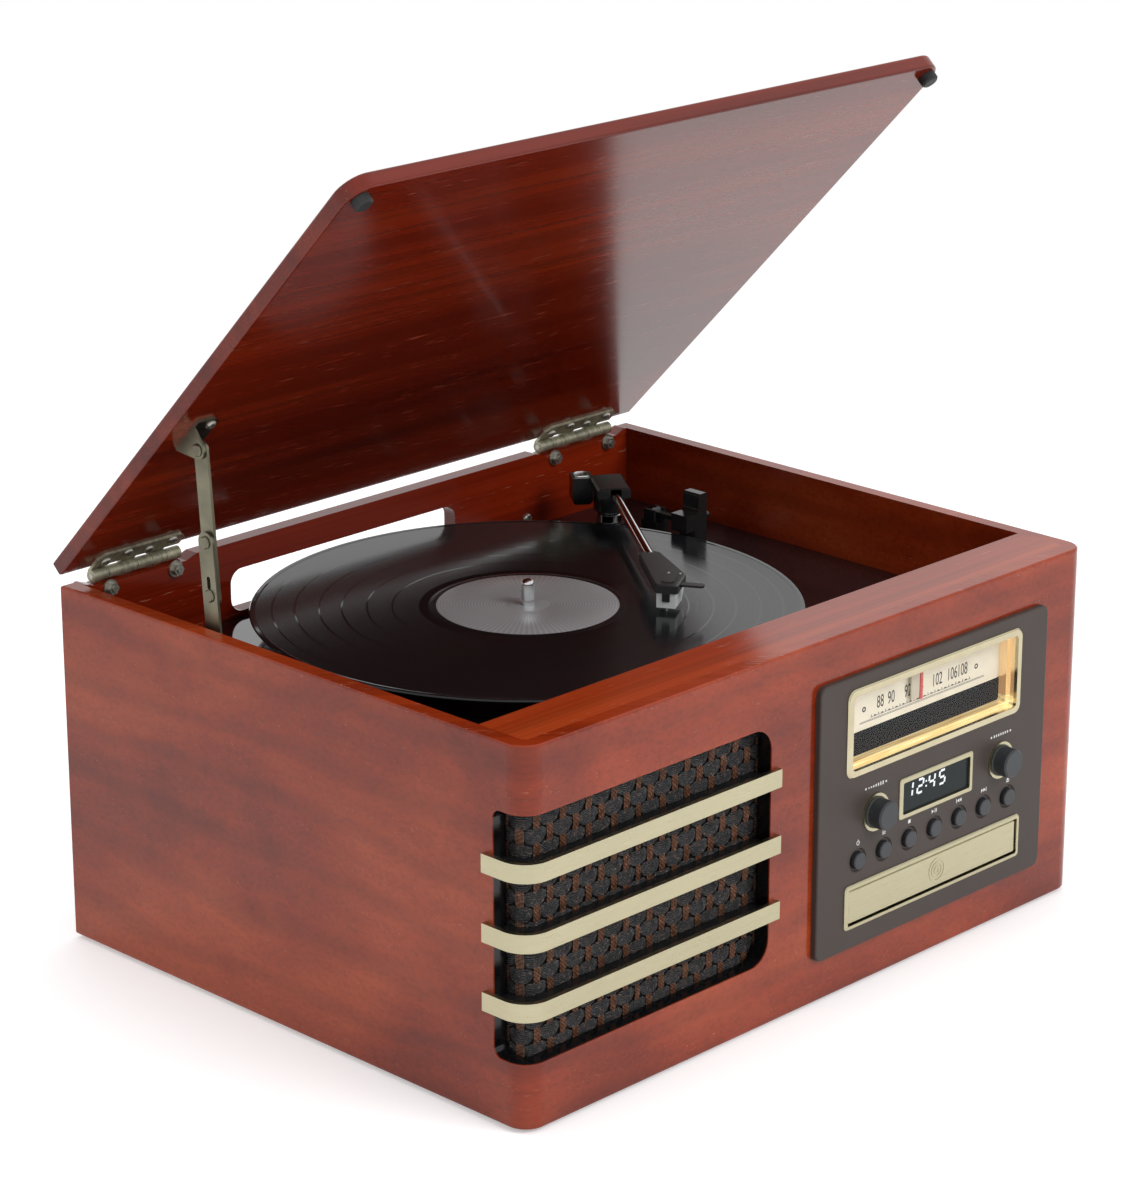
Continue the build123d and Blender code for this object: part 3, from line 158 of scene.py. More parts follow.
for name, place, width, height, watts in (
    ("key_light", (0.6, -2.6, 2.2), 1.8, 1.4, 62),
    ("left_light", (-2.6, -0.2, 1.7), 1.6, 1.6, 15),
    ("top_light", (0.2, 0.6, 2.8), 2.4, 2.0, 42),
):
    light_data = bpy.data.lights.new(name, "AREA")
    light_data.shape = "RECTANGLE"
    light_data.size = width
    light_data.size_y = height
    light_data.energy = watts
    light = bpy.data.objects.new(name, light_data)
    light.location = place
    light.rotation_euler = (Vector((0, 0, 0.15)) - light.location).to_track_quat("-Z", "Y").to_euler()
    light.visible_glossy = False
    bpy.context.scene.collection.objects.link(light)


# Cabinet and lid boards: red cherry veneer under clear lacquer. The grain runs level round the cabinet and
# along the lid, with darker bands, fine streaks and short open pores, bumped, with pale painted glints in
# them.
def scaled(tree, vector, scale):
    """A vector scaled along each direction."""
    made = node(tree, "VectorMath", operation="MULTIPLY")
    tree.links.new(vector, made.inputs[0])
    made.inputs[1].default_value = scale
    return made.outputs[0]


def parts_of(tree, vector):
    """A vector's X, Y and Z as values."""
    made = node(tree, "SeparateXYZ")
    tree.links.new(vector, made.inputs[0])
    return made.outputs


def dot(tree, source, direction):
    """How far a point lies along a direction, as a value."""
    made = node(tree, "VectorMath", operation="DOT_PRODUCT")
    tree.links.new(source, made.inputs[0])
    made.inputs[1].default_value = direction
    return made.outputs["Value"]


def joined(tree, x, y, z, scale=(1, 1, 1)):
    """A vector from three values, scaled along each."""
    made = node(tree, "CombineXYZ")
    for value, place in zip((x, y, z), made.inputs):
        tree.links.new(value, place)
    return scaled(tree, made.outputs[0], scale)


def ramp(tree, value, stops):
    """A colour ramp from (place, colour) stops, with grey given as one number."""
    made = node(tree, "ValToRGB")
    while len(made.color_ramp.elements) < len(stops):
        made.color_ramp.elements.new(0.5)
    for element, (place, colour) in zip(made.color_ramp.elements, stops):
        element.position = place
        element.color = (colour, colour, colour, 1) if isinstance(colour, float) else (*colour, 1)
    tree.links.new(value, made.inputs[0])
    return made.outputs[0]


def band(tree, value, low, high):
    """1 between low and high."""
    above = node(tree, "Math", operation="GREATER_THAN")
    below = node(tree, "Math", operation="LESS_THAN")
    for made, limit in ((above, low), (below, high)):
        tree.links.new(value, made.inputs[0])
        made.inputs[1].default_value = limit
    return product(tree, above.outputs[0], below.outputs[0])


def noise(tree, vector, scale, detail=4.0, roughness=0.55, distortion=0.0):
    """Noise over a vector."""
    made = node(tree, "TexNoise", Scale=scale, Detail=detail, Roughness=roughness, Distortion=distortion)
    tree.links.new(vector, made.inputs["Vector"])
    return made.outputs["Fac"]


def blend_colour(tree, how, amount, first, second):
    """Two colours blended; amount is a number or a socket."""
    made = node(tree, "Mix", data_type="RGBA", blend_type=how)
    if isinstance(amount, float):
        made.inputs[0].default_value = amount
    else:
        tree.links.new(amount, made.inputs[0])
    for value, place in ((first, made.inputs[6]), (second, made.inputs[7])):
        if isinstance(value, tuple):
            place.default_value = (*value, 1)
        else:
            tree.links.new(value, place)
    return made.outputs[2]


def bumped(tree, height, strength, distance, target):
    """Bump from a height value into a shader's normal."""
    made = node(tree, "Bump", Strength=strength, Distance=distance)
    tree.links.new(height, made.inputs["Height"])
    tree.links.new(made.outputs[0], target)


def finish_material(tree, shader):
    """Join a shader to the material's output."""
    tree.links.new(shader.outputs[0], node(tree, "OutputMaterial").inputs[0])


def veneer(name, along, across, depth, dark, middle, light, seed, painted=None):
    """Cherry veneer whose grain runs along one direction and lies in the plane of the other."""
    material, tree = new_material(name)
    place = node(tree, "TexCoord").outputs["Object"]
    shifted = node(tree, "VectorMath", operation="ADD")
    tree.links.new(place, shifted.inputs[0])
    shifted.inputs[1].default_value = (seed, seed * 0.7, seed * 1.3)
    u, v, w = (dot(tree, shifted.outputs[0], way) for way in (along, across, depth))
    tone = noise(tree, joined(tree, u, v, w, (1.0, 13, 13)), 1.0, 3, 0.55, 0.3)
    wave = node(tree, "TexWave", bands_direction="Y", Scale=1.0, Distortion=4.5, Detail=2.5,
                Detail_Scale=1.2, Detail_Roughness=0.55)
    tree.links.new(joined(tree, u, v, w, (0.7, 10.0, 10.0)), wave.inputs["Vector"])
    streaks = noise(tree, joined(tree, u, v, w, (5, 430, 430)), 1.0, 5, 0.65)
    pores = noise(tree, joined(tree, u, v, w, (62, 1200, 1200)), 1.0, 2, 0.5)
    colour = ramp(tree, tone, [(0.34, dark), (0.50, middle), (0.68, light)])
    figure = ramp(tree, wave.outputs["Fac"], [(0.0, 0.55), (0.45, 1.0), (1.0, 0.84)])
    colour = blend_colour(tree, "MULTIPLY", 0.42, colour, figure)
    fine = ramp(tree, streaks, [(0.36, 0.66), (0.54, 1.0), (1.0, 1.0)])
    colour = blend_colour(tree, "MULTIPLY", 0.6, colour, fine)
    # Painted glints: pale flecks in the open pores, only in some bands of the figure; the pores are also
    # bumped.
    pores_and_glints = ramp(tree, pores, [(0.0, 0.0), (0.655, 0.0), (0.73, 1.0)])
    glint_bands = ramp(tree, wave.outputs["Fac"], [(0.45, 0.0), (0.8, 1.0), (1.0, 0.25)])
    colour = blend_colour(tree, "MIX", product(tree, pores_and_glints, glint_bands, 0.5), colour, (0.60, 0.26, 0.16))
    shader = node(tree, "BsdfPrincipled", Roughness=0.14, IOR=1.42)
    if painted:
        colour = blend_colour(tree, "MIX", painted(tree, place), colour, (0.004, 0.004, 0.005))
    tree.links.new(colour, shader.inputs["Base Color"])
    bumped(tree, pores_and_glints, 0.10, 0.0003, shader.inputs["Normal"])
    finish_material(tree, shader)
    return material


def behind_grille(tree, place):
    """1 on the black edges of the grille opening, which lie inside the rounded outer skin of the corner."""
    skin_corner = (-0.205, -0.161, 0)
    skin_inside = 0.0112
    away = node(tree, "VectorMath", operation="SUBTRACT")
    away.inputs[0].default_value = skin_corner
    tree.links.new(place, away.inputs[1])
    kept = node(tree, "VectorMath", operation="MAXIMUM")
    tree.links.new(away.outputs[0], kept.inputs[0])
    reach = node(tree, "VectorMath", operation="LENGTH")
    tree.links.new(scaled(tree, kept.outputs[0], (1, 1, 0)), reach.inputs[0])
    opening = ((-1, -0.0405), (-1, -0.1505), (0.036, 0.1675))
    limits = [band(tree, value, *ends) for value, ends in zip(parts_of(tree, place), opening)]
    return product(tree, band(tree, reach.outputs["Value"], -1, skin_inside), *limits)


lid_hinge = joints["lid_hinge"]
lid_angle = math.radians(lid_hinge["range_deg"][1])
along_x = (1.0, 0.0, 0.0)
round_walls = (1.0, -1.0, 0.0)
up = (0.0, 0.0, 1.0)
lid_slope = (0.0, -math.cos(lid_angle), math.sin(lid_angle))
lid_normal = (0.0, math.sin(lid_angle), math.cos(lid_angle))
cherry_dark, cherry, cherry_light = (0.20, 0.020, 0.004), (0.30, 0.035, 0.007), (0.40, 0.062, 0.015)
# Painted shade: the lid takes a darker copy of the cherry colours for its underside.
lid_shaded_dark, lid_shaded_red, lid_shaded_pale = (0.100, 0.007, 0.002), (0.168, 0.013, 0.003), (0.255, 0.027, 0.006)
# Painted shade: the back wall takes a darker copy of the cherry colours.
back_shaded_dark, back_shaded_red, back_shaded_pale = (0.140, 0.010, 0.002), (0.235, 0.019, 0.004), (0.34, 0.040, 0.009)

wall_veneer = veneer("wall_veneer", round_walls, up, (0.6, 0.6, 0.0), cherry_dark, cherry, cherry_light, 0.0,
                     behind_grille)
ledge_veneer = veneer("ledge_veneer", along_x, (0.0, 1.0, 0.0), up, cherry_dark, cherry, cherry_light, 0.31)
lid_veneer_shaded = veneer("lid_veneer_shaded", along_x, lid_slope, lid_normal, lid_shaded_dark, lid_shaded_red, lid_shaded_pale, 0.77)
back_veneer_shaded = veneer("back_veneer_shaded", along_x, up, (0.0, 1.0, 0.0), back_shaded_dark, back_shaded_red, back_shaded_pale, 1.9)


def dress(material, *names):
    """Give CAD nodes their material."""
    for name in names:
        holder = nodes[name]
        if not holder.material_slots:
            holder.data.materials.append(material)
        for place in holder.material_slots:
            place.link = "OBJECT"
            place.material = material


dress(wall_veneer, "cabinet_shell")
dress(ledge_veneer, "top_rail")
dress(lid_veneer_shaded, "lid_board")
dress(back_veneer_shaded, "back_panel")


# Plain boards inside the cabinet: the base and the strips that carry the deck, in bare wood. The pads under
# the cabinet and the two under the lid are black rubber.
def plain_finish(name, colour, rough, metallic=0.0, grain=(260, 260, 260), shade=0.25, bump=0.05, coat=0.0,
                 gloss=0.5):
    """A moulded, painted or metal finish with a little cloudiness and fine tooth."""
    material, tree = new_material(name)
    place = node(tree, "TexCoord").outputs["Object"]
    fine = noise(tree, scaled(tree, place, grain), 1.0, 4, 0.6)
    cloud = noise(tree, place, 22.0, 3, 0.5)
    tint = ramp(tree, fine, [(0.3, 1.0 - shade), (0.7, 1.0)])
    patch = ramp(tree, cloud, [(0.3, 1.0 - shade * 0.7), (0.7, 1.0)])
    colour = blend_colour(tree, "MULTIPLY", 1.0, tint, colour)
    colour = blend_colour(tree, "MULTIPLY", 1.0, patch, colour)
    shader = node(tree, "BsdfPrincipled", Metallic=metallic, Coat_Weight=coat, Coat_Roughness=0.06,
                  Specular_IOR_Level=gloss)
    tree.links.new(colour, shader.inputs["Base Color"])
    spread = node(tree, "MapRange")
    tree.links.new(fine, spread.inputs[0])
    spread.inputs[3].default_value = rough * 0.85
    spread.inputs[4].default_value = min(rough * 1.2, 1.0)
    tree.links.new(spread.outputs[0], shader.inputs["Roughness"])
    bumped(tree, fine, bump, 0.0003, shader.inputs["Normal"])
    finish_material(tree, shader)
    return material


bare_board = plain_finish("bare_board", (0.42, 0.29, 0.18), 0.7, grain=(20, 320, 320))
black_rubber = plain_finish("black_rubber", (0.02, 0.02, 0.02), 0.6)
dress(bare_board, "base_board", "deck_cleats")
dress(black_rubber, "feet", "lid_bumpers")

# Deck: a gloss black board on wooden strips, set below the cabinet's edge. It mirrors the well's red walls
# and carries the platter, the tonearm and its rest.
deck_gloss = plain_finish("deck_gloss", (0.012, 0.012, 0.014), 0.07, shade=0.1, bump=0.0, coat=0.5)
dress(deck_gloss, "deck_plate")

# Hinges and stay: the stay is aged nickel with a greenish-brown cast, brushed along its plates. The hinge
# leaves are worn, mottled zinc, and the pins and bolts are bright steel.
aged_nickel = plain_finish("aged_nickel", (0.28, 0.26, 0.185), 0.36, 1.0, (700, 60, 60), 0.40, 0.10)
worn_zinc = plain_finish("worn_zinc", (0.60, 0.57, 0.41), 0.42, 0.6, (420, 150, 150), 0.55, 0.25)
bright_steel = plain_finish("bright_steel", (0.56, 0.54, 0.48), 0.30, 0.85, (500, 500, 500), 0.3, 0.08)
dress(aged_nickel, "stay_lid_bracket", "stay_upper_arm", "stay_lower_arm", "stay_wall_bracket")
dress(worn_zinc, "lid_hinge_leaves", "cabinet_hinge_leaves")
dress(bright_steel, "hinge_pins", "hinge_bolts", "drive_motor", "cd_drive")


def finished(name, mesh, material, body):
    """A piece from a mesh whose points are already in place, riding on a body."""
    piece = bpy.data.objects.new(name, mesh)
    bpy.context.scene.collection.objects.link(piece)
    mesh.materials.clear()
    mesh.materials.append(material)
    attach(piece, body)
    return piece


def turned_shape(profile, steps=32):
    """A closed lathe shape round Z from (radius, height) points that start and end on the axis."""
    shape = bmesh.new()
    rings = []
    turns = [2 * math.pi * i / steps for i in range(steps)]
    for radius, height in profile:
        stops = turns if radius else turns[:1]
        rings.append([shape.verts.new((radius * math.cos(t), radius * math.sin(t), height)) for t in stops])
    for lower, upper in zip(rings, rings[1:]):
        for i in range(steps):
            k = (i + 1) % steps
            if len(lower) == 1:
                shape.faces.new((lower[0], upper[k], upper[i]))
            elif len(upper) == 1:
                shape.faces.new((lower[i], lower[k], upper[0]))
            else:
                shape.faces.new((lower[i], lower[k], upper[k], upper[i]))
    bmesh.ops.recalc_face_normals(shape, faces=shape.faces)
    return shape


def facing(place, normal):
    """The transform that stands a shape on a place with its axis along a normal."""
    return Matrix.Translation(place) @ Vector(normal).to_track_quat("Z", "Y").to_matrix().to_4x4()


def gather(name, shapes):
    """One mesh from several (shape, transform) pairs, smooth apart from its sharp edges."""
    mesh = bpy.data.meshes.new(name)
    whole = bmesh.new()
    for shape, transform in shapes:
        part = bpy.data.meshes.new("part")
        shape.to_mesh(part)
        part.transform(transform)
        whole.from_mesh(part)
        bpy.data.meshes.remove(part)
    for edge in whole.edges:
        if len(edge.link_faces) == 2 and edge.calc_face_angle(0) > math.radians(35):
            edge.smooth = False
    for face in whole.faces:
        face.smooth = True
    whole.to_mesh(mesh)
    whole.free()
    return mesh


# Pan-head screws with a cross recess: four in each lid leaf, one in the stay's bracket on the lid, and
# five that hold the back panel.
def screw_shape(radius):
    """A domed head with a cross sunk into it."""
    height = radius * 0.62
    arm, slot_half, deep = radius * 0.58, radius * 0.15, height * 0.45
    head = turned_shape([(0, 0), (radius, 0), (radius, height * 0.25), (radius * 0.9, height * 0.62),
                         (radius * 0.66, height * 0.9), (0, height)], 28)
    head_mesh = bpy.data.meshes.new("head")
    head.to_mesh(head_mesh)
    cutter = bmesh.new()
    for size in ((arm, slot_half), (slot_half, arm * 0.999)):
        made = bmesh.ops.create_cube(cutter, size=1.0)["verts"]
        bmesh.ops.scale(cutter, vec=(2 * size[0], 2 * size[1], 2 * deep), verts=made)
        bmesh.ops.translate(cutter, vec=(0, 0, height), verts=made)
    cutter_mesh = bpy.data.meshes.new("cutter")
    cutter.to_mesh(cutter_mesh)
    body = bpy.data.objects.new("head", head_mesh)
    tool = bpy.data.objects.new("cutter", cutter_mesh)
    for made in (body, tool):
        bpy.context.scene.collection.objects.link(made)
    cut = body.modifiers.new("cut", "BOOLEAN")
    cut.operation = "DIFFERENCE"
    cut.solver = "EXACT"
    cut.use_self = True
    cut.object = tool
    done = bpy.data.meshes.new_from_object(body.evaluated_get(bpy.context.evaluated_depsgraph_get()))
    result = bmesh.new()
    result.from_mesh(done)
    for made in (body, tool):
        bpy.data.objects.remove(made)
    return result


lid_pin = Vector(lid_hinge["pos_m"])
open_lid = Matrix.Translation(lid_pin) @ Matrix.Rotation(-lid_angle, 4, "X") @ Matrix.Translation(-lid_pin)
hinge_x = 0.1685
leaf_back = 0.1676
leaf_face = 0.2057
leaf_screws = ((-0.023, 0.0058), (-0.0095, 0.0092), (0.0065, 0.0058), (0.021, 0.0092))
lid_places = [(side * hinge_x + offset, leaf_back - distance) for side in (-1, 1)
              for offset, distance in leaf_screws]
lid_places.append((-0.1925, leaf_back - 0.1363))
small_head = screw_shape(0.0030)
placed = [(small_head, open_lid @ facing((x, y, leaf_face), (0, 0, -1))) for x, y in lid_places]
finished("lid_screws", gather("lid_screws", placed), bright_steel, "lid")

back_low, back_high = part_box("back_panel")
side_inset, foot_inset = 0.008, 0.0045
screw_low = back_low[2] + foot_inset
screw_high = (back_low[2] + back_high[2]) / 2
back_places = [(x, z) for x in (back_low[0] + side_inset, 0.0, back_high[0] - side_inset)
               for z in (screw_low, screw_high) if x != 0.0 or z == screw_low]
big_head = screw_shape(0.0034)
placed = [(big_head, facing((x, back_high[1], z), (0, 1, 0))) for x, z in back_places]
finished("back_screws", gather("back_screws", placed), bright_steel, "cabinet")


# Record: a black pressing whose grooves make one fine sheen, with shiny track gaps, a raised bead and a
# silver label with turned rings and fine radial rays, a painted sheen that fans out from the spindle.
spindle_low, spindle_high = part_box("spindle")
spindle_x = (spindle_low[0] + spindle_high[0]) / 2
spindle_y = (spindle_low[1] + spindle_high[1]) / 2


def from_spindle(tree):
    """The distance from the spindle, the direction round it and the place seen from it."""
    place = node(tree, "TexCoord").outputs["Object"]
    moved = node(tree, "VectorMath", operation="SUBTRACT")
    tree.links.new(place, moved.inputs[0])
    moved.inputs[1].default_value = (spindle_x, spindle_y, 0)
    flat = scaled(tree, moved.outputs[0], (1, 1, 0))
    length = node(tree, "VectorMath", operation="LENGTH")
    tree.links.new(flat, length.inputs[0])
    around = node(tree, "VectorMath", operation="CROSS_PRODUCT")
    tree.links.new(flat, around.inputs[1])
    around.inputs[0].default_value = (0, 0, 1)
    unit = node(tree, "VectorMath", operation="NORMALIZE")
    tree.links.new(around.outputs[0], unit.inputs[0])
    return length.outputs["Value"], unit.outputs[0], flat


def total(tree, values):
    """The sum of several values."""
    result = values[0]
    for value in values[1:]:
        made = node(tree, "Math", operation="ADD")
        tree.links.new(result, made.inputs[0])
        tree.links.new(value, made.inputs[1])
        result = made.outputs[0]
    return result


track_gaps = (0.0735, 0.0872, 0.1008, 0.1130, 0.1262, 0.1385)
gap_half = 0.00045
run_out = (0.0540, 0.0590)
vinyl, tree = new_material("vinyl")
distance, around, flat = from_spindle(tree)
smooth_parts = [band(tree, distance, radius - gap_half, radius + gap_half) for radius in track_gaps]
smooth_parts.append(band(tree, distance, *run_out))
smooth_parts.append(band(tree, distance, 0.1474, 0.16))
smooth = total(tree, smooth_parts)
loudness = node(tree, "TexNoise", noise_dimensions="1D", Scale=1.0, Detail=5.0)
tree.links.new(product(tree, distance, 1400), loudness.inputs["W"])
shader = node(tree, "BsdfPrincipled", Base_Color=(0.007, 0.008, 0.009, 1), Anisotropic=0.72,
              Specular_IOR_Level=0.34)
rough = node(tree, "MapRange")
tree.links.new(loudness.outputs["Fac"], rough.inputs[0])
rough.inputs[3].default_value = 0.11
rough.inputs[4].default_value = 0.22
mixed = node(tree, "Mix", data_type="FLOAT")
tree.links.new(smooth, mixed.inputs[0])
tree.links.new(rough.outputs[0], mixed.inputs[2])
mixed.inputs[3].default_value = 0.06
tree.links.new(mixed.outputs[0], shader.inputs["Roughness"])
tree.links.new(around, shader.inputs["Tangent"])
finish_material(tree, shader)
dress(vinyl, "record")

label_silver, tree = new_material("label_silver")
distance, around, flat = from_spindle(tree)
ring_pitch = 0.00165
sheen_ray_count = 96
rings = node(tree, "Math", operation="SINE")
tree.links.new(product(tree, distance, 2 * math.pi / ring_pitch), rings.inputs[0])
turn = node(tree, "Math", operation="ARCTAN2")
tree.links.new(parts_of(tree, flat)[1], turn.inputs[0])
tree.links.new(parts_of(tree, flat)[0], turn.inputs[1])
# Painted sheen: fine radial rays darken the label's colour in stripes that fan out from the spindle.
sheen_rays = node(tree, "Math", operation="SINE")
tree.links.new(product(tree, turn.outputs[0], sheen_ray_count), sheen_rays.inputs[0])
ring_shade = ramp(tree, rings.outputs[0], [(0.0, 0.80), (0.6, 1.0)])
ray_sheen_paint = ramp(tree, sheen_rays.outputs[0], [(0.0, 0.82), (0.7, 1.0)])
shade = blend_colour(tree, "MULTIPLY", 1.0, ring_shade, ray_sheen_paint)
shader = node(tree, "BsdfPrincipled", Metallic=0.45, Roughness=0.30, Anisotropic=0.8)
tree.links.new(blend_colour(tree, "MULTIPLY", 1.0, shade, (0.60, 0.63, 0.65)), shader.inputs["Base Color"])
tree.links.new(around, shader.inputs["Tangent"])
bumped(tree, rings.outputs[0], 0.15, 0.0001, shader.inputs["Normal"])
finish_material(tree, shader)

record_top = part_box("record")[1][2]
label_rise = 0.00012
label_profile = [(0.0037, 0.0), (0.0037, label_rise), (0.0115, label_rise), (0.0118, label_rise * 0.2),
                 (0.0123, label_rise * 0.2), (0.0126, label_rise), (0.0494, label_rise), (0.0497, 0.0)]


def ring_shape(profile, steps):
    """A closed ring turned round Z from a closed line of (radius, height) points."""
    shape = bmesh.new()
    turns = [2 * math.pi * i / steps for i in range(steps)]
    rows = [[shape.verts.new((radius * math.cos(t), radius * math.sin(t), height)) for t in turns]
            for radius, height in profile]
    for lower, upper in zip(rows, rows[1:] + rows[:1]):
        for i in range(steps):
            k = (i + 1) % steps
            shape.faces.new((lower[i], lower[k], upper[k], upper[i]))
    bmesh.ops.recalc_face_normals(shape, faces=shape.faces)
    return shape


label = ring_shape(label_profile, 128)
label_place = Matrix.Translation((spindle_x, spindle_y, record_top))
finished("record_label", gather("record_label", [(label, label_place)]), label_silver, "turntable")

# Platter, mat, belt and motor pulley, seen only in the gap round the record: a turned aluminium platter with
# a felt mat, driven by a rubber belt from a brass pulley.
turned_aluminium = plain_finish("turned_aluminium", (0.42, 0.42, 0.43), 0.28, 1.0, (40, 40, 900))
felt_mat = plain_finish("felt_mat", (0.035, 0.035, 0.037), 0.9, grain=(1500, 1500, 1500), shade=0.5, bump=0.5)
turned_brass = plain_finish("turned_brass", (0.55, 0.38, 0.16), 0.22, 1.0, (40, 40, 1200))
dress(turned_aluminium, "platter")
dress(felt_mat, "platter_mat")
dress(turned_brass, "motor_pulley")
dress(black_rubber, "drive_belt")

# Spindle and tonearm tube, both in polished chrome. The spindle stands up through the record's label and the
# tube carries the headshell.
chrome = plain_finish("chrome", (0.66, 0.66, 0.66), 0.08, 1.0, (90, 90, 90), 0.08, 0.0)
dress(chrome, "spindle", "tonearm_tube")

# Tonearm: the housing, the rest and the lever are glossy black mouldings, the headshell is a softer black and
# the cartridge is pale grey. The sockets, the drivers and the tray's inside share the soft black.
black_moulding = plain_finish("black_moulding", (0.014, 0.014, 0.015), 0.24, grain=(900, 900, 900), bump=0.04)
soft_black = plain_finish("soft_black", (0.022, 0.022, 0.023), 0.42, grain=(1200, 1200, 1200), bump=0.1)
pale_grey = plain_finish("pale_grey", (0.66, 0.70, 0.69), 0.4, grain=(900, 900, 900), shade=0.08)
dress(black_moulding, "tonearm_base", "tonearm_yoke", "arm_rest", "cue_lever")
dress(soft_black, "headshell", "cd_tray", "rear_sockets", "speaker_drivers", "speaker_baffle")
dress(pale_grey, "cartridge")

# Front panel: a moulded plate in satin grey-brown paint, with black knobs and buttons. The grille's bars, the
# dial's frame and the disc tray's front are pale gold, and the circuit boards behind are green.
panel_paint = plain_finish("panel_paint", (0.064, 0.049, 0.043), 0.42, grain=(1600, 1600, 1600), shade=0.12,
                           gloss=0.25)
knob_black = plain_finish("knob_black", (0.030, 0.033, 0.038), 0.38, grain=(900, 900, 900))
pale_gold = plain_finish("pale_gold", (0.49, 0.45, 0.30), 0.28, 1.0, (60, 60, 900), 0.06, 0.02)
dress(panel_paint, "control_panel")
dress(knob_black, "volume_knob", "tuning_knob", "power_button", "function_button", "stop_button",
      "play_button", "previous_button", "next_button", "eject_button", "speed_switch")
dress(pale_gold, "grille_bars", "dial_bezel", "panel_trim", "cd_tray_frame", "cd_tray_front")
dress(black_moulding, "grille_fins")
green_board = plain_finish("green_board", (0.02, 0.09, 0.04), 0.45)
dress(green_board, "control_board", "amplifier_board")

# Dial glass and display window: the dial lies behind a thin clear pane that shows hardly any reflection. The
# display has a dark window.
clear_glass, tree = new_material("clear_glass")
shader = node(tree, "BsdfPrincipled", Base_Color=(1, 1, 1, 1), Roughness=0.02, IOR=1.12,
              Transmission_Weight=1.0)
finish_material(tree, shader)
dress(clear_glass, "dial_glass")
dark_window = plain_finish("dark_window", (0.012, 0.019, 0.020), 0.06, shade=0.1, bump=0.0, gloss=0.14)
dress(dark_window, "display_window")

# Grille cloth: a coarse basket weave on a thin backing. Dark bundles of fine thread swell where they cross
# over the flat brown ribs and draw in where they pass behind. It is woven flat, then bent round the corner.
cloth_low, cloth_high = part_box("grille_cloth")
cloth_corner = Vector((-0.198, -0.154))
cloth_turn = 0.0072
cloth_front = cloth_high[0] - cloth_corner.x
cloth_side = cloth_high[1] - cloth_corner.y
cloth_width = cloth_front + cloth_turn * math.pi / 2 + cloth_side
cloth_height = cloth_high[2] - cloth_low[2]
cloth_middle = (cloth_high[2] + cloth_low[2]) / 2


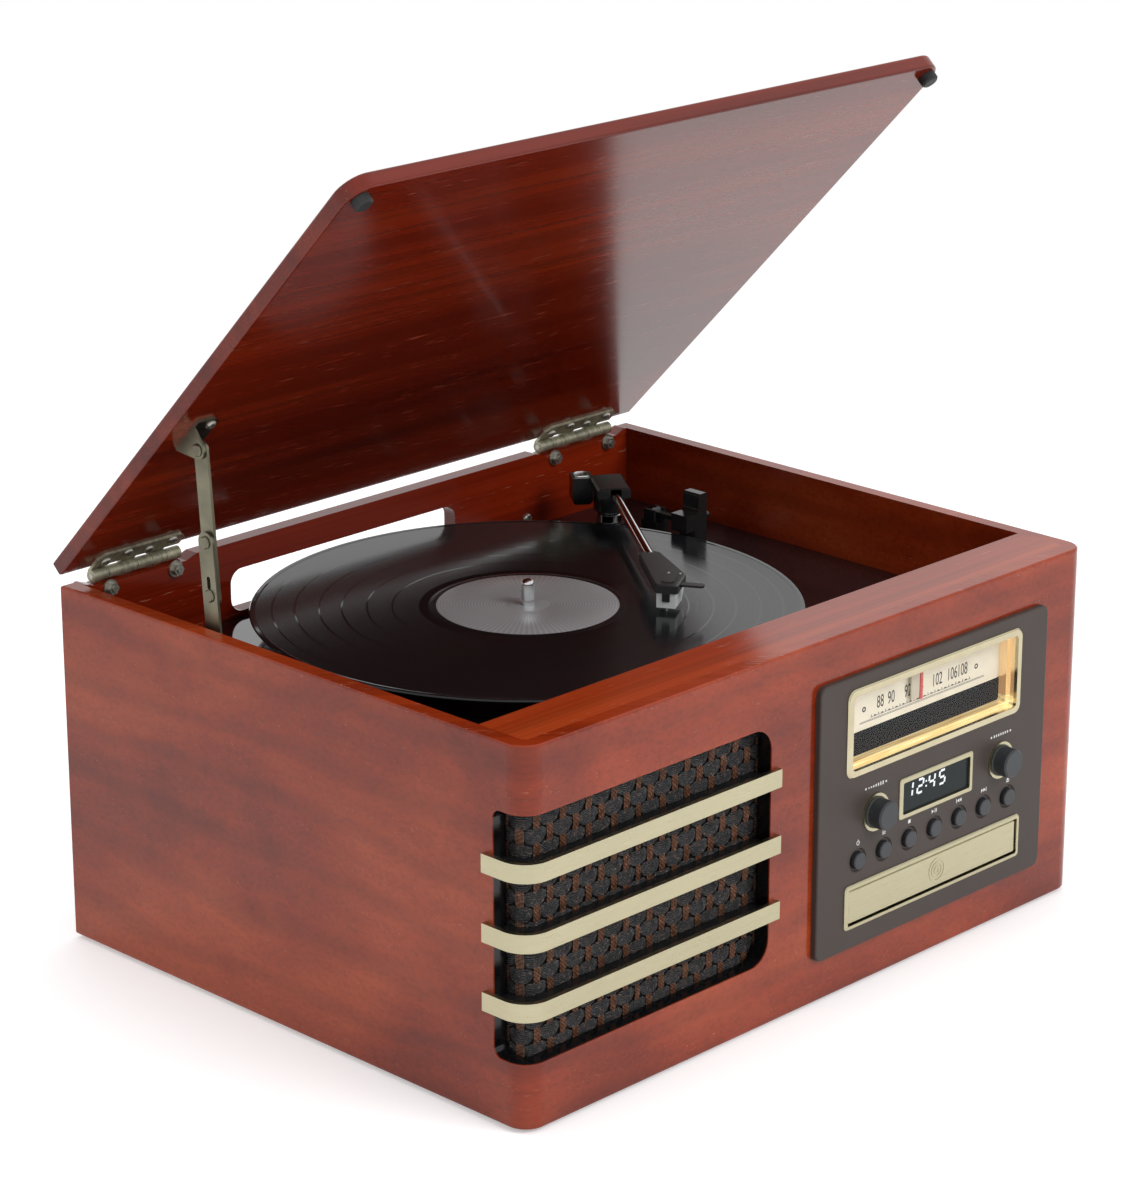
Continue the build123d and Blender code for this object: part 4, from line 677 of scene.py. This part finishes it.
def weave_group(name, settings):
    """The woven sheet as a node tree with its sizes as inputs."""
    tree = bpy.data.node_groups.new(name, "GeometryNodeTree")
    sockets = {}
    for label, value in settings.items():
        kind = "NodeSocketInt" if isinstance(value, int) else "NodeSocketFloat"
        sockets[label] = tree.interface.new_socket(label, in_out="INPUT", socket_type=kind).identifier
    tree.interface.new_socket("Geometry", in_out="OUTPUT", socket_type="NodeSocketGeometry")
    given = tree.nodes.new("NodeGroupInput")

    def make(kind, **settings):
        made = tree.nodes.new(kind)
        for label, value in settings.items():
            setattr(made, label, value)
        return made

    def join(value, socket):
        if isinstance(value, (int, float, tuple)):
            socket.default_value = value
        else:
            tree.links.new(value, socket)

    def calc(operation, *values):
        made = make("ShaderNodeMath", operation=operation)
        for value, socket in zip(values, made.inputs):
            join(value, socket)
        return made.outputs[0]

    def vector(x, y, z):
        made = make("ShaderNodeCombineXYZ")
        for value, socket in zip((x, y, z), made.inputs):
            join(value, socket)
        return made.outputs[0]

    def threads(run, across, count, steps, seam, material):
        """Threads that run one way; seam gives the moved position from (x, y)."""
        spacing = calc("DIVIDE", across, count)
        start = calc("SUBTRACT", calc("MULTIPLY", spacing, 0.5), calc("MULTIPLY", across, 0.5))
        half = calc("MULTIPLY", run, 0.5)
        line = make("GeometryNodeMeshLine")
        strand = make("GeometryNodeCurvePrimitiveLine")
        weft = material is weft_material
        join(count, line.inputs["Count"])
        if weft:
            join(vector(0.0, start, 0.0), line.inputs["Start Location"])
            join(vector(0.0, spacing, 0.0), line.inputs["Offset"])
            join(vector(calc("MULTIPLY", half, -1.0), 0.0, 0.0), strand.inputs["Start"])
            join(vector(half, 0.0, 0.0), strand.inputs["End"])
        else:
            join(vector(start, 0.0, 0.0), line.inputs["Start Location"])
            join(vector(spacing, 0.0, 0.0), line.inputs["Offset"])
            join(vector(0.0, calc("MULTIPLY", half, -1.0), 0.0), strand.inputs["Start"])
            join(vector(0.0, half, 0.0), strand.inputs["End"])
        cut = make("GeometryNodeResampleCurve")
        join(strand.outputs[0], cut.inputs["Curve"])
        join(steps, cut.inputs["Count"])
        spread = make("GeometryNodeInstanceOnPoints")
        join(line.outputs[0], spread.inputs["Points"])
        join(cut.outputs[0], spread.inputs["Instance"])
        real = make("GeometryNodeRealizeInstances")
        join(spread.outputs[0], real.inputs[0])
        place = make("ShaderNodeSeparateXYZ")
        join(make("GeometryNodeInputPosition").outputs[0], place.inputs[0])
        moved = make("GeometryNodeSetPosition")
        join(real.outputs[0], moved.inputs["Geometry"])
        join(seam(place.outputs[0], place.outputs[1]), moved.inputs["Position"])
        jitter = make("ShaderNodeTexNoise", noise_dimensions="4D")
        join(1400.0, jitter.inputs["Scale"])
        join(given.outputs["Seed"], jitter.inputs["W"])
        centred = make("ShaderNodeVectorMath", operation="SUBTRACT")
        join(jitter.outputs["Color"], centred.inputs[0])
        centred.inputs[1].default_value = (0.5, 0.5, 0.5)
        small = make("ShaderNodeVectorMath", operation="SCALE")
        join(centred.outputs[0], small.inputs[0])
        join(given.outputs["Unevenness"], small.inputs["Scale"])
        join(small.outputs[0], moved.inputs["Offset"])
        ring = make("GeometryNodeCurvePrimitiveCircle")
        join(4, ring.inputs["Resolution"])
        join(given.outputs["Thread radius"], ring.inputs["Radius"])
        tube = make("GeometryNodeCurveToMesh")
        join(moved.outputs[0], tube.inputs["Curve"])
        join(ring.outputs[0], tube.inputs["Profile Curve"])
        join(True, tube.inputs["Fill Caps"])
        dressed = make("GeometryNodeSetMaterial")
        join(tube.outputs[0], dressed.inputs["Geometry"])
        dressed.inputs["Material"].default_value = material
        return dressed.outputs[0]

    width, height = given.outputs["Width"], given.outputs["Height"]
    pitch, swell = given.outputs["Pitch"], given.outputs["Swell"]
    row_height = calc("DIVIDE", height, given.outputs["Rows"])

    def row_of(y):
        """The row number at a height, counted from the foot, with its fraction."""
        return calc("DIVIDE", calc("ADD", y, calc("MULTIPLY", height, 0.5)), row_height)

    def weft_place(x, y):
        row = calc("FLOOR", row_of(y))
        turn = calc("MULTIPLY", calc("ADD", calc("DIVIDE", calc("MULTIPLY", x, 2.0), pitch), row), math.pi)
        over = calc("COSINE", turn)
        middle = calc("SUBTRACT", calc("MULTIPLY", calc("ADD", row, 0.5), row_height),
                      calc("MULTIPLY", height, 0.5))
        offset = calc("SUBTRACT", y, middle)
        squeezed = calc("MAXIMUM", calc("ADD", calc("MULTIPLY", over, 1.0), 0.92), 0.30)
        opened = calc("SMOOTH_MIN", squeezed, 1.0, 0.15)
        arch = calc("MULTIPLY", calc("MULTIPLY", over, row_height), -0.07)
        bend = calc("DIVIDE", calc("MULTIPLY", offset, 1.6), row_height)
        crown = calc("SUBTRACT", 1.0, calc("POWER", bend, 2.0))
        rise = calc("MULTIPLY", calc("MULTIPLY", swell, over), crown)
        return vector(x, calc("ADD", calc("ADD", middle, arch), calc("MULTIPLY", offset, opened)), rise)

    def warp_place(x, y):
        half_pitch = calc("MULTIPLY", pitch, 0.5)
        rib = calc("ROUND", calc("DIVIDE", x, half_pitch))
        middle = calc("MULTIPLY", rib, half_pitch)
        level = calc("SUBTRACT", row_of(y), 0.5)
        over = calc("MULTIPLY", calc("COSINE", calc("MULTIPLY", calc("ADD", rib, level), math.pi)), -1.0)
        narrow = calc("ADD", 0.44, calc("MULTIPLY", over, 0.06))
        across = calc("MULTIPLY", calc("SUBTRACT", x, middle), narrow)
        return vector(calc("ADD", middle, across), y, calc("MULTIPLY", calc("MULTIPLY", over, swell), 0.75))

    both = make("GeometryNodeJoinGeometry")
    join(threads(width, height, given.outputs["Weft threads"], given.outputs["Weft steps"], weft_place,
                 weft_material), both.inputs[0])
    join(threads(height, width, given.outputs["Warp threads"], given.outputs["Warp steps"], warp_place,
                 warp_material), both.inputs[0])
    last = make("GeometryNodeRealizeInstances")
    join(both.outputs[0], last.inputs[0])
    join(last.outputs[0], make("NodeGroupOutput").inputs[0])
    return tree, sockets


def yarn(name, colours, twist):
    """Twisted yarn: a few colours along the threads, the palest a painted glint, with painted highlight and
    shade along the turns.
    """
    material, tree = new_material(name)
    place = node(tree, "TexCoord").outputs["Object"]
    mottle_and_glints = noise(tree, place, 620.0, 3, 0.7)
    turns = node(tree, "TexWave", bands_direction="DIAGONAL", Scale=twist, Distortion=1.5, Detail=2.0)
    tree.links.new(place, turns.inputs["Vector"])
    colour = ramp(tree, mottle_and_glints, list(zip((0.30, 0.48, 0.60, 0.72), colours)))
    # Painted highlight and shade: the colour darkens and brightens along the twist's turns.
    shade = ramp(tree, turns.outputs["Fac"], [(0.0, 0.35), (0.55, 1.0), (1.0, 1.3)])
    shader = node(tree, "BsdfPrincipled", Roughness=0.55, Sheen_Weight=0.25, Specular_IOR_Level=0.4)
    tree.links.new(blend_colour(tree, "MULTIPLY", 1.0, colour, shade), shader.inputs["Base Color"])
    bumped(tree, turns.outputs["Fac"], 0.5, 0.0002, shader.inputs["Normal"])
    finish_material(tree, shader)
    return material


# The palest colour of each yarn is a painted glint.
weft_material = yarn("weft_yarn", [(0.003, 0.005, 0.006), (0.012, 0.017, 0.020), (0.060, 0.050, 0.050),
                                   (0.34, 0.20, 0.16)], 420.0)
warp_material = yarn("warp_yarn", [(0.045, 0.014, 0.006), (0.15, 0.055, 0.022), (0.21, 0.090, 0.045),
                                   (0.42, 0.22, 0.15)], 300.0)
weave_settings = {"Width": cloth_width, "Height": cloth_height, "Pitch": 0.0178, "Rows": 17, "Swell": 0.00062,
                  "Thread radius": 0.00050, "Unevenness": 0.0004, "Seed": 7.0, "Weft threads": 17 * 7,
                  "Weft steps": 100, "Warp threads": 20 * 5, "Warp steps": 86}
weave_tree, weave_inputs = weave_group("basket_weave", weave_settings)
carrier = bpy.data.objects.new("carrier", bpy.data.meshes.new("carrier"))
bpy.context.scene.collection.objects.link(carrier)
weaving = carrier.modifiers.new("weave", "NODES")
weaving.node_group = weave_tree
for label, value in weave_settings.items():
    weaving[weave_inputs[label]] = value
weave_mesh = bpy.data.meshes.new_from_object(carrier.evaluated_get(bpy.context.evaluated_depsgraph_get()))
bpy.data.objects.remove(carrier)


def bent_round_corner(mesh, turn):
    """Wrap a flat mesh along the front, round the corner and a little way back along the side."""
    arc = turn * math.pi / 2
    for point in mesh.vertices:
        along = point.co.x + cloth_width / 2 - cloth_front
        angle = min(max(along, 0.0), arc) / turn
        out = turn + point.co.z
        x = cloth_corner.x - out * math.sin(angle) - min(along, 0.0)
        y = cloth_corner.y - out * math.cos(angle) + max(along - arc, 0.0)
        point.co = (x, y, cloth_middle + point.co.y)
    turned_out = bmesh.new()
    turned_out.from_mesh(mesh)
    bmesh.ops.recalc_face_normals(turned_out, faces=turned_out.faces)
    turned_out.to_mesh(mesh)
    turned_out.free()


bent_round_corner(weave_mesh, cloth_turn)
weave = bpy.data.objects.new("grille_weave", weave_mesh)
bpy.context.scene.collection.objects.link(weave)
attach(weave, "cabinet")

backing_gap = -0.0009
backing_thick = 0.0003
backing = bmesh.new()
steps_along, steps_up = 60, 4
sheets = []
for level in (backing_gap, backing_gap - backing_thick):
    columns = [(i / steps_along - 0.5) * cloth_width for i in range(steps_along + 1)]
    heights = [(k / steps_up - 0.5) * cloth_height for k in range(steps_up + 1)]
    sheets.append([[backing.verts.new((x, y, level)) for y in heights] for x in columns])
top, under = sheets
for i in range(steps_along):
    for k in range(steps_up):
        backing.faces.new((top[i][k], top[i + 1][k], top[i + 1][k + 1], top[i][k + 1]))
        backing.faces.new((under[i][k + 1], under[i + 1][k + 1], under[i + 1][k], under[i][k]))
for i in range(steps_along):
    for k in (0, steps_up):
        backing.faces.new((top[i][k], top[i + 1][k], under[i + 1][k], under[i][k]))
for k in range(steps_up):
    for i in (0, steps_along):
        backing.faces.new((top[i][k], top[i][k + 1], under[i][k + 1], under[i][k]))
backing_mesh = bpy.data.meshes.new("grille_backing")
backing.to_mesh(backing_mesh)
bent_round_corner(backing_mesh, cloth_turn)
for face in backing_mesh.polygons:
    face.use_smooth = True
backing_cloth = plain_finish("backing_cloth", (0.012, 0.010, 0.010), 0.9, grain=(2400, 2400, 2400), shade=0.6)
cloth_sheet = finished("grille_backing", backing_mesh, backing_cloth, "cabinet")
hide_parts("grille_cloth")


# Printing on the panel and the dial: plain numbers, ticks and symbols, each a thin raised film of ink.
def film(outline, holes=()):
    """A thin flat film of ink in XZ, from an outline and its holes, facing -Y."""
    curve = bpy.data.curves.new("film", "CURVE")
    curve.dimensions = "2D"
    curve.fill_mode = "BOTH"
    curve.extrude = 0.00004
    for loop in (outline, *holes):
        spline = curve.splines.new("POLY")
        spline.points.add(len(loop) - 1)
        for point, (x, z) in zip(spline.points, loop):
            point.co = (x, z, 0, 1)
        spline.use_cyclic_u = True
    holder = bpy.data.objects.new("film", curve)
    mesh = bpy.data.meshes.new_from_object(holder)
    shape = bmesh.new()
    shape.from_mesh(mesh)
    bmesh.ops.remove_doubles(shape, verts=shape.verts, dist=1e-6)
    bpy.data.objects.remove(holder)
    return shape


def lettered(text, height, narrow):
    """Numerals as a thin film, centred, of a given height."""
    curve = bpy.data.curves.new("numerals", "FONT")
    curve.body = text
    curve.align_x = "CENTER"
    curve.align_y = "CENTER"
    curve.extrude = 0.00004
    curve.resolution_u = 3
    holder = bpy.data.objects.new("numerals", curve)
    mesh = bpy.data.meshes.new_from_object(holder)
    shape = bmesh.new()
    shape.from_mesh(mesh)
    bpy.data.objects.remove(holder)
    bmesh.ops.remove_doubles(shape, verts=shape.verts, dist=1e-6)
    tall = max(v.co.y for v in shape.verts) - min(v.co.y for v in shape.verts)
    grow = height / tall
    for v in shape.verts:
        v.co.x *= grow * narrow
        v.co.y *= grow
    return shape


def on_front(x, y, z):
    """The transform that stands a flat film on a plane that faces the front."""
    return Matrix.Translation((x, y - 0.00005, z)) @ Matrix.Rotation(math.radians(90), 4, "X")


def bar(x0, x1, z0, z1):
    """A rectangle's outline."""
    return [(x0, z0), (x1, z0), (x1, z1), (x0, z1)]


def circle(radius, steps=20, x=0.0, z=0.0):
    """A circle's outline."""
    return [(x + radius * math.cos(2 * math.pi * i / steps), z + radius * math.sin(2 * math.pi * i / steps))
            for i in range(steps)]


dial_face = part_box("dial_plate")[0][1] + 0.0004
strip_top = 0.1414
mm = 0.001
black_ink = plain_finish("black_ink", (0.008, 0.008, 0.009), 0.5)
scale = []
for value, x in ((88, 51.8), (90, 60.6), (92, 74.3), (96, 84.2), (102, 98.6), (106, 111.2), (108, 119.8)):
    scale.append((lettered(str(value), 6.9 * mm, 0.60), on_front(x * mm, dial_face, 153.3 * mm)))
for i in range(29):
    x = (44.8 + i * 2.9) * mm
    half, high = ((0.85, 0.55) if i % 2 else (0.22, 1.15))
    scale.append((film(bar(-half * mm, half * mm, 0, high * mm)), on_front(x, dial_face, 146.8 * mm)))
scale.append((film(bar(44 * mm, 127 * mm, -0.09 * mm, 0.09 * mm)), on_front(0, dial_face, 146.6 * mm)))
for z in (145.5, 144.9):
    scale.append((film(bar(35.3 * mm, 138.5 * mm, -0.1 * mm, 0.1 * mm)), on_front(0, dial_face, z * mm)))
for x in (38.6, 131.6):
    scale.append((film(circle(1.5 * mm), [circle(0.75 * mm)[::-1]]), on_front(x * mm, dial_face, 152.4 * mm)))
finished("dial_scale", gather("dial_scale", scale), black_ink, "cabinet")

# Symbols over the buttons and rows of ticks over the knobs, printed in white. Each symbol is centred over its
# button, and the ticks over the volume knob grow from left to right.
panel_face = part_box("control_panel")[0][1]
button_nodes = ("power", "function", "stop", "play", "previous", "next", "eject")
button_x = [(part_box(f"{name}_button")[0][0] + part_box(f"{name}_button")[1][0]) / 2 for name in button_nodes]
symbol_z = 84.7 * mm
right_arrow = [(-0.9 * mm, -1.1 * mm), (0.9 * mm, 0), (-0.9 * mm, 1.1 * mm)]
left_arrow = [(-x, z) for x, z in reversed(right_arrow)]
up_arrow = [(-1.3 * mm, -0.3 * mm), (1.3 * mm, -0.3 * mm), (0, 1.3 * mm)]
square = bar(-1.0 * mm, 1.0 * mm, -1.0 * mm, 1.0 * mm)
low_bar = bar(-1.3 * mm, 1.3 * mm, -1.3 * mm, -0.75 * mm)
tall_bar = bar(-0.25 * mm, 0.25 * mm, -1.1 * mm, 1.1 * mm)
open_ring = (circle(1.3 * mm), [circle(0.9 * mm)[::-1]])
symbols = {
    "power": [(open_ring, 0), ((bar(-0.2 * mm, 0.2 * mm, 0.1 * mm, 1.9 * mm), ()), 0)],
    "function": [((bar(-1.4 * mm, 1.4 * mm, h * mm, (h + 0.4) * mm), ()), 0) for h in (-1.1, -0.2, 0.7)],
    "stop": [((square, ()), 0)],
    "play": [((right_arrow, ()), -1.4), ((tall_bar, ()), 0.5), ((tall_bar, ()), 1.6)],
    "previous": [((tall_bar, ()), -2.2), ((left_arrow, ()), -0.8), ((left_arrow, ()), 1.1)],
    "next": [((right_arrow, ()), -1.1), ((right_arrow, ()), 0.8), ((tall_bar, ()), 2.2)],
    "eject": [((up_arrow, ()), 0), ((low_bar, ()), 0)],
}
ink = []
for name, x in zip(button_nodes, button_x):
    for (outline, holes), shift in symbols[name]:
        ink.append((film(outline, holes), on_front(x + shift * mm, panel_face, symbol_z)))
for name in ("volume", "tuning"):
    low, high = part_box(f"{name}_knob")
    middle = (low[0] + high[0]) / 2
    for offset in (-8.2, 8.2):
        ink.append((film(circle(0.65 * mm, 14)), on_front(middle + offset * mm, panel_face, 113.2 * mm)))
    for i in range(7):
        tall = (0.35 + 0.12 * i) if name == "volume" else 0.7
        ink.append((film(bar(-0.45 * mm, 0.45 * mm, -tall * mm, tall * mm)),
                    on_front(middle + (i - 3) * 1.9 * mm, panel_face, 113.2 * mm)))
white_ink = plain_finish("white_ink", (0.80, 0.79, 0.76), 0.5, shade=0.05)
finished("panel_symbols", gather("panel_symbols", ink), white_ink, "cabinet")

# Display: white digits of seven bars each, which glow in the dark window. They lean a little to the right
# and show a plain time.
window_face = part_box("display_window")[0][1]
digit_parts = {"1": "bc", "2": "abged", "4": "fgbc", "5": "afgcd"}
half_wide, half_tall, thick = 2.3 * mm, 3.7 * mm, 0.62 * mm
lean = 0.10
part_bars = {
    "a": bar(-half_wide + thick, half_wide - thick, half_tall - thick, half_tall + thick),
    "g": bar(-half_wide + thick, half_wide - thick, -thick, thick),
    "d": bar(-half_wide + thick, half_wide - thick, -half_tall - thick, -half_tall + thick),
    "b": bar(half_wide - thick, half_wide + thick, thick, half_tall - 0.3 * thick),
    "c": bar(half_wide - thick, half_wide + thick, -half_tall + 0.3 * thick, -thick),
    "f": bar(-half_wide - thick, -half_wide + thick, thick, half_tall - 0.3 * thick),
    "e": bar(-half_wide - thick, -half_wide + thick, -half_tall + 0.3 * thick, -thick),
}
shown = []
for digit, x in (("1", 66.6), ("2", 75.4), ("4", 84.9), ("5", 93.6)):
    for part in digit_parts[digit]:
        leaning = [(u + lean * v, v) for u, v in part_bars[part]]
        shown.append((film(leaning), on_front(x * mm, window_face, 102.2 * mm)))
for z in (100.8, 103.6):
    shown.append((film(circle(0.6 * mm, 12)), on_front(80.2 * mm, window_face, z * mm)))
digit_light, tree = new_material("digit_light")
glow = node(tree, "Emission", Strength=1.15)
tree.links.new(ramp(tree, noise(tree, node(tree, "TexCoord").outputs["Object"], 900.0),
                    [(0.3, (0.80, 0.88, 0.92)), (0.7, (1.0, 1.0, 1.0))]), glow.inputs["Color"])
finish_material(tree, glow)
finished("display_digits", gather("display_digits", shown), digit_light, "cabinet")

# Dial lighting: the lamp under the scale is painted as emission, a painted glow on the floor of the gold
# recess and a warm painted glow on its right wall.
bezel_low, bezel_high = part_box("dial_bezel")
lit_gold, tree = new_material("lit_gold")
place = node(tree, "TexCoord").outputs["Object"]
x, y, z = parts_of(tree, place)
frame_wide, frame_top = 0.0095, 0.0060
recess = band(tree, y, panel_face + 0.0012, 0)
floor_lit = product(tree, recess, band(tree, z, 0, bezel_low[2] + frame_wide))
wall_lit = product(tree, recess, band(tree, x, bezel_high[0] - frame_wide, 1),
                   band(tree, z, bezel_low[2] + frame_wide, bezel_high[2] - frame_top))
shader = node(tree, "BsdfPrincipled", Metallic=1.0, Roughness=0.2, Emission_Strength=1.0)
tree.links.new(ramp(tree, noise(tree, place, 60.0), [(0.3, (0.50, 0.44, 0.29)), (0.7, (0.56, 0.50, 0.34))]),
               shader.inputs["Base Color"])
streaks = noise(tree, joined(tree, x, y, z, (25, 900, 900)), 1.0)
glow_colour = ramp(tree, streaks, [(0.35, (0.42, 0.24, 0.08)), (0.5, (0.56, 0.40, 0.17)),
                                   (0.65, (0.66, 0.56, 0.33))])
floor_glow = blend_colour(tree, "MULTIPLY", 1.0, glow_colour, floor_lit)
wall_glow = blend_colour(tree, "MULTIPLY", 1.0, wall_lit, (0.38, 0.20, 0.08))
tree.links.new(blend_colour(tree, "ADD", 1.0, floor_glow, wall_glow), shader.inputs["Emission Color"])
finish_material(tree, shader)
dress(lit_gold, "dial_bezel")

# Dial plate: a cream card with a black strip along its foot. It glows a little with painted light, an emission
# that stands in for the lamp under it shining through.
dial_paint, tree = new_material("dial_paint")
place = node(tree, "TexCoord").outputs["Object"]
cream = ramp(tree, noise(tree, place, 45.0), [(0.3, (0.62, 0.56, 0.44)), (0.7, (0.70, 0.64, 0.52))])
strip = band(tree, parts_of(tree, place)[2], 0, strip_top)
colour = blend_colour(tree, "MIX", strip, cream, (0.006, 0.006, 0.008))
shader = node(tree, "BsdfPrincipled", Roughness=0.4, Emission_Strength=0.12, Specular_IOR_Level=0.08)
tree.links.new(colour, shader.inputs["Base Color"])
tree.links.new(colour, shader.inputs["Emission Color"])
finish_material(tree, shader)
dress(dial_paint, "dial_plate")

# Pointer: an upright red bar with a cream carriage at its left. It slides along the scale as the tuning knob
# turns.
pointer_paint, tree = new_material("pointer_paint")
place = node(tree, "TexCoord").outputs["Object"]
pointer_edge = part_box("dial_pointer")[1][0] - 0.0024
red = ramp(tree, noise(tree, place, 200.0), [(0.3, (0.50, 0.055, 0.05)), (0.7, (0.58, 0.08, 0.07))])
carriage = band(tree, parts_of(tree, place)[0], 0, pointer_edge)
colour = blend_colour(tree, "MIX", carriage, red, (0.50, 0.44, 0.33))
shader = node(tree, "BsdfPrincipled", Roughness=0.35)
tree.links.new(colour, shader.inputs["Base Color"])
finish_material(tree, shader)
dress(pointer_paint, "dial_pointer")

# Disc tray front: three fine raised rings in the middle of the gold plate, where the photograph shows a small
# round mark.
tray_low, tray_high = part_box("cd_tray_front")
tray_middle = ((tray_low[0] + tray_high[0]) / 2 + 0.003, tray_low[1], (tray_low[2] + tray_high[2]) / 2)
ring_profile = [(0.0012, 0), (0.0012, 0.0002), (0.0018, 0.0003), (0.0024, 0.0002), (0.0024, 0)]
tray_rings = [(ring_shape([(radius + base, height) for radius, height in ring_profile], 48),
               facing(tray_middle, (0, -1, 0))) for base in (0.0, 0.0022, 0.0044)]
finished("tray_rings", gather("tray_rings", tray_rings), pale_gold, "tray")

# Tonearm: a bright sleeve under the pivot housing, a bright cap on the side weight, and two small screws
# with a raised rib on the headshell.
swing = joints["tonearm_swing"]
arm_heading = math.radians(-126.83)
pivot_x, pivot_y = swing["pos_m"][:2]
arm_place = Matrix.Translation((pivot_x, pivot_y, 0)) @ Matrix.Rotation(arm_heading, 4, "Z")
deck_top, flange_high = 0.1585, 0.0086
sleeve = ring_shape([(0.0048, 0), (0.0071, 0), (0.0075, 0.0004), (0.0075, 0.0048), (0.0071, 0.0052),
                     (0.0048, 0.0052)], 48)
sleeve_place = Matrix.Translation((pivot_x, pivot_y, deck_top + flange_high))
finished("pivot_sleeve", gather("pivot_sleeve", [(sleeve, sleeve_place)]), chrome, "cabinet")


def bevelled_plate(length, width, height, bevel):
    """A flat plate with rounded upright corners and a bevelled top, standing on its base."""
    shape = bmesh.new()
    bmesh.ops.create_cube(shape, size=1.0)
    bmesh.ops.scale(shape, vec=(length, width, height), verts=shape.verts)
    bmesh.ops.translate(shape, vec=(0, 0, height / 2), verts=shape.verts)
    upright = [e for e in shape.edges if abs(e.verts[0].co.z - e.verts[1].co.z) > height / 2]
    bmesh.ops.bevel(shape, geom=upright, offset=bevel, segments=4, affect="EDGES")
    rim = [e for e in shape.edges if e.verts[0].co.z > height * 0.9 and e.verts[1].co.z > height * 0.9]
    bmesh.ops.bevel(shape, geom=rim, offset=min(bevel, height) * 0.4, segments=2, affect="EDGES")
    return shape


housing_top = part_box("tonearm_yoke")[1][2]
cap = bevelled_plate(0.0105, 0.0085, 0.0011, 0.0012)
cap_place = arm_place @ Matrix.Translation((-0.0086, -0.0152, housing_top - 0.0011))
finished("weight_cap", gather("weight_cap", [(cap, cap_place)]), chrome, "tonearm_pivot")
shell_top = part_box("headshell")[1][2]
cartridge_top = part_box("cartridge")[1][2]
arm_length = 0.1895
head_turn = arm_heading - math.radians(23)
stylus_x = pivot_x + arm_length * math.cos(arm_heading)
stylus_y = pivot_y + arm_length * math.sin(arm_heading)
head_place = Matrix.Translation((stylus_x, stylus_y, shell_top)) @ Matrix.Rotation(head_turn, 4, "Z")
sunk = -0.0001
rib = bevelled_plate(0.0125, 0.0072, 0.0007, 0.001)
rib_place = head_place @ Matrix.Translation((-0.006, 0, sunk))
finished("headshell_rib", gather("headshell_rib", [(rib, rib_place)]), soft_black, "tonearm")
tiny_head = screw_shape(0.0011)
placed = [(tiny_head, head_place @ Matrix.Translation((-0.0165, side * 0.0032, sunk))) for side in (-1, 1)]
finished("headshell_screws", gather("headshell_screws", placed), bright_steel, "tonearm")
clip = bevelled_plate(0.0042, 0.0012, 0.0046, 0.0003)
clip_place = (head_place @ Matrix.Translation((0.0033, 0.0, cartridge_top - shell_top - 0.0048))
              @ Matrix.Rotation(math.radians(90), 4, "Z"))
finished("cartridge_clip", gather("cartridge_clip", [(clip, clip_place)]), black_moulding, "tonearm")

# Back: white and red plastic collars round the two line-out sockets and a steel pin in the power inlet. A
# fastener for the socket plate shows inside the well.
collar = ring_shape([(0.00425, 0), (0.0062, 0), (0.0062, 0.0010), (0.0057, 0.0015), (0.00425, 0.0015)], 40)
plate_face, socket_height = 0.175, 0.042
red_plastic = plain_finish("red_plastic", (0.45, 0.02, 0.02), 0.35)
white_plastic = plain_finish("white_plastic", (0.75, 0.74, 0.70), 0.4)
for name, x, material in (("left_socket_collar", 0.134, white_plastic),
                          ("right_socket_collar", 0.152, red_plastic)):
    collar_place = facing((x, plate_face, socket_height), (0, 1, 0))
    finished(name, gather(name, [(collar, collar_place)]), material, "cabinet")
jack_pin = turned_shape([(0, 0), (0.0008, 0), (0.0008, 0.0050), (0.0005, 0.0056), (0, 0.0058)], 20)
pin_place = facing((0.113, 0.1652, socket_height), (0, 1, 0))
finished("inlet_pin", gather("inlet_pin", [(jack_pin, pin_place)]), bright_steel, "cabinet")
fastener_place = facing((0.1228, 0.164, 0.1639), (0, -1, 0))
finished("well_fastener", gather("well_fastener", [(big_head, fastener_place)]), bright_steel, "cabinet")
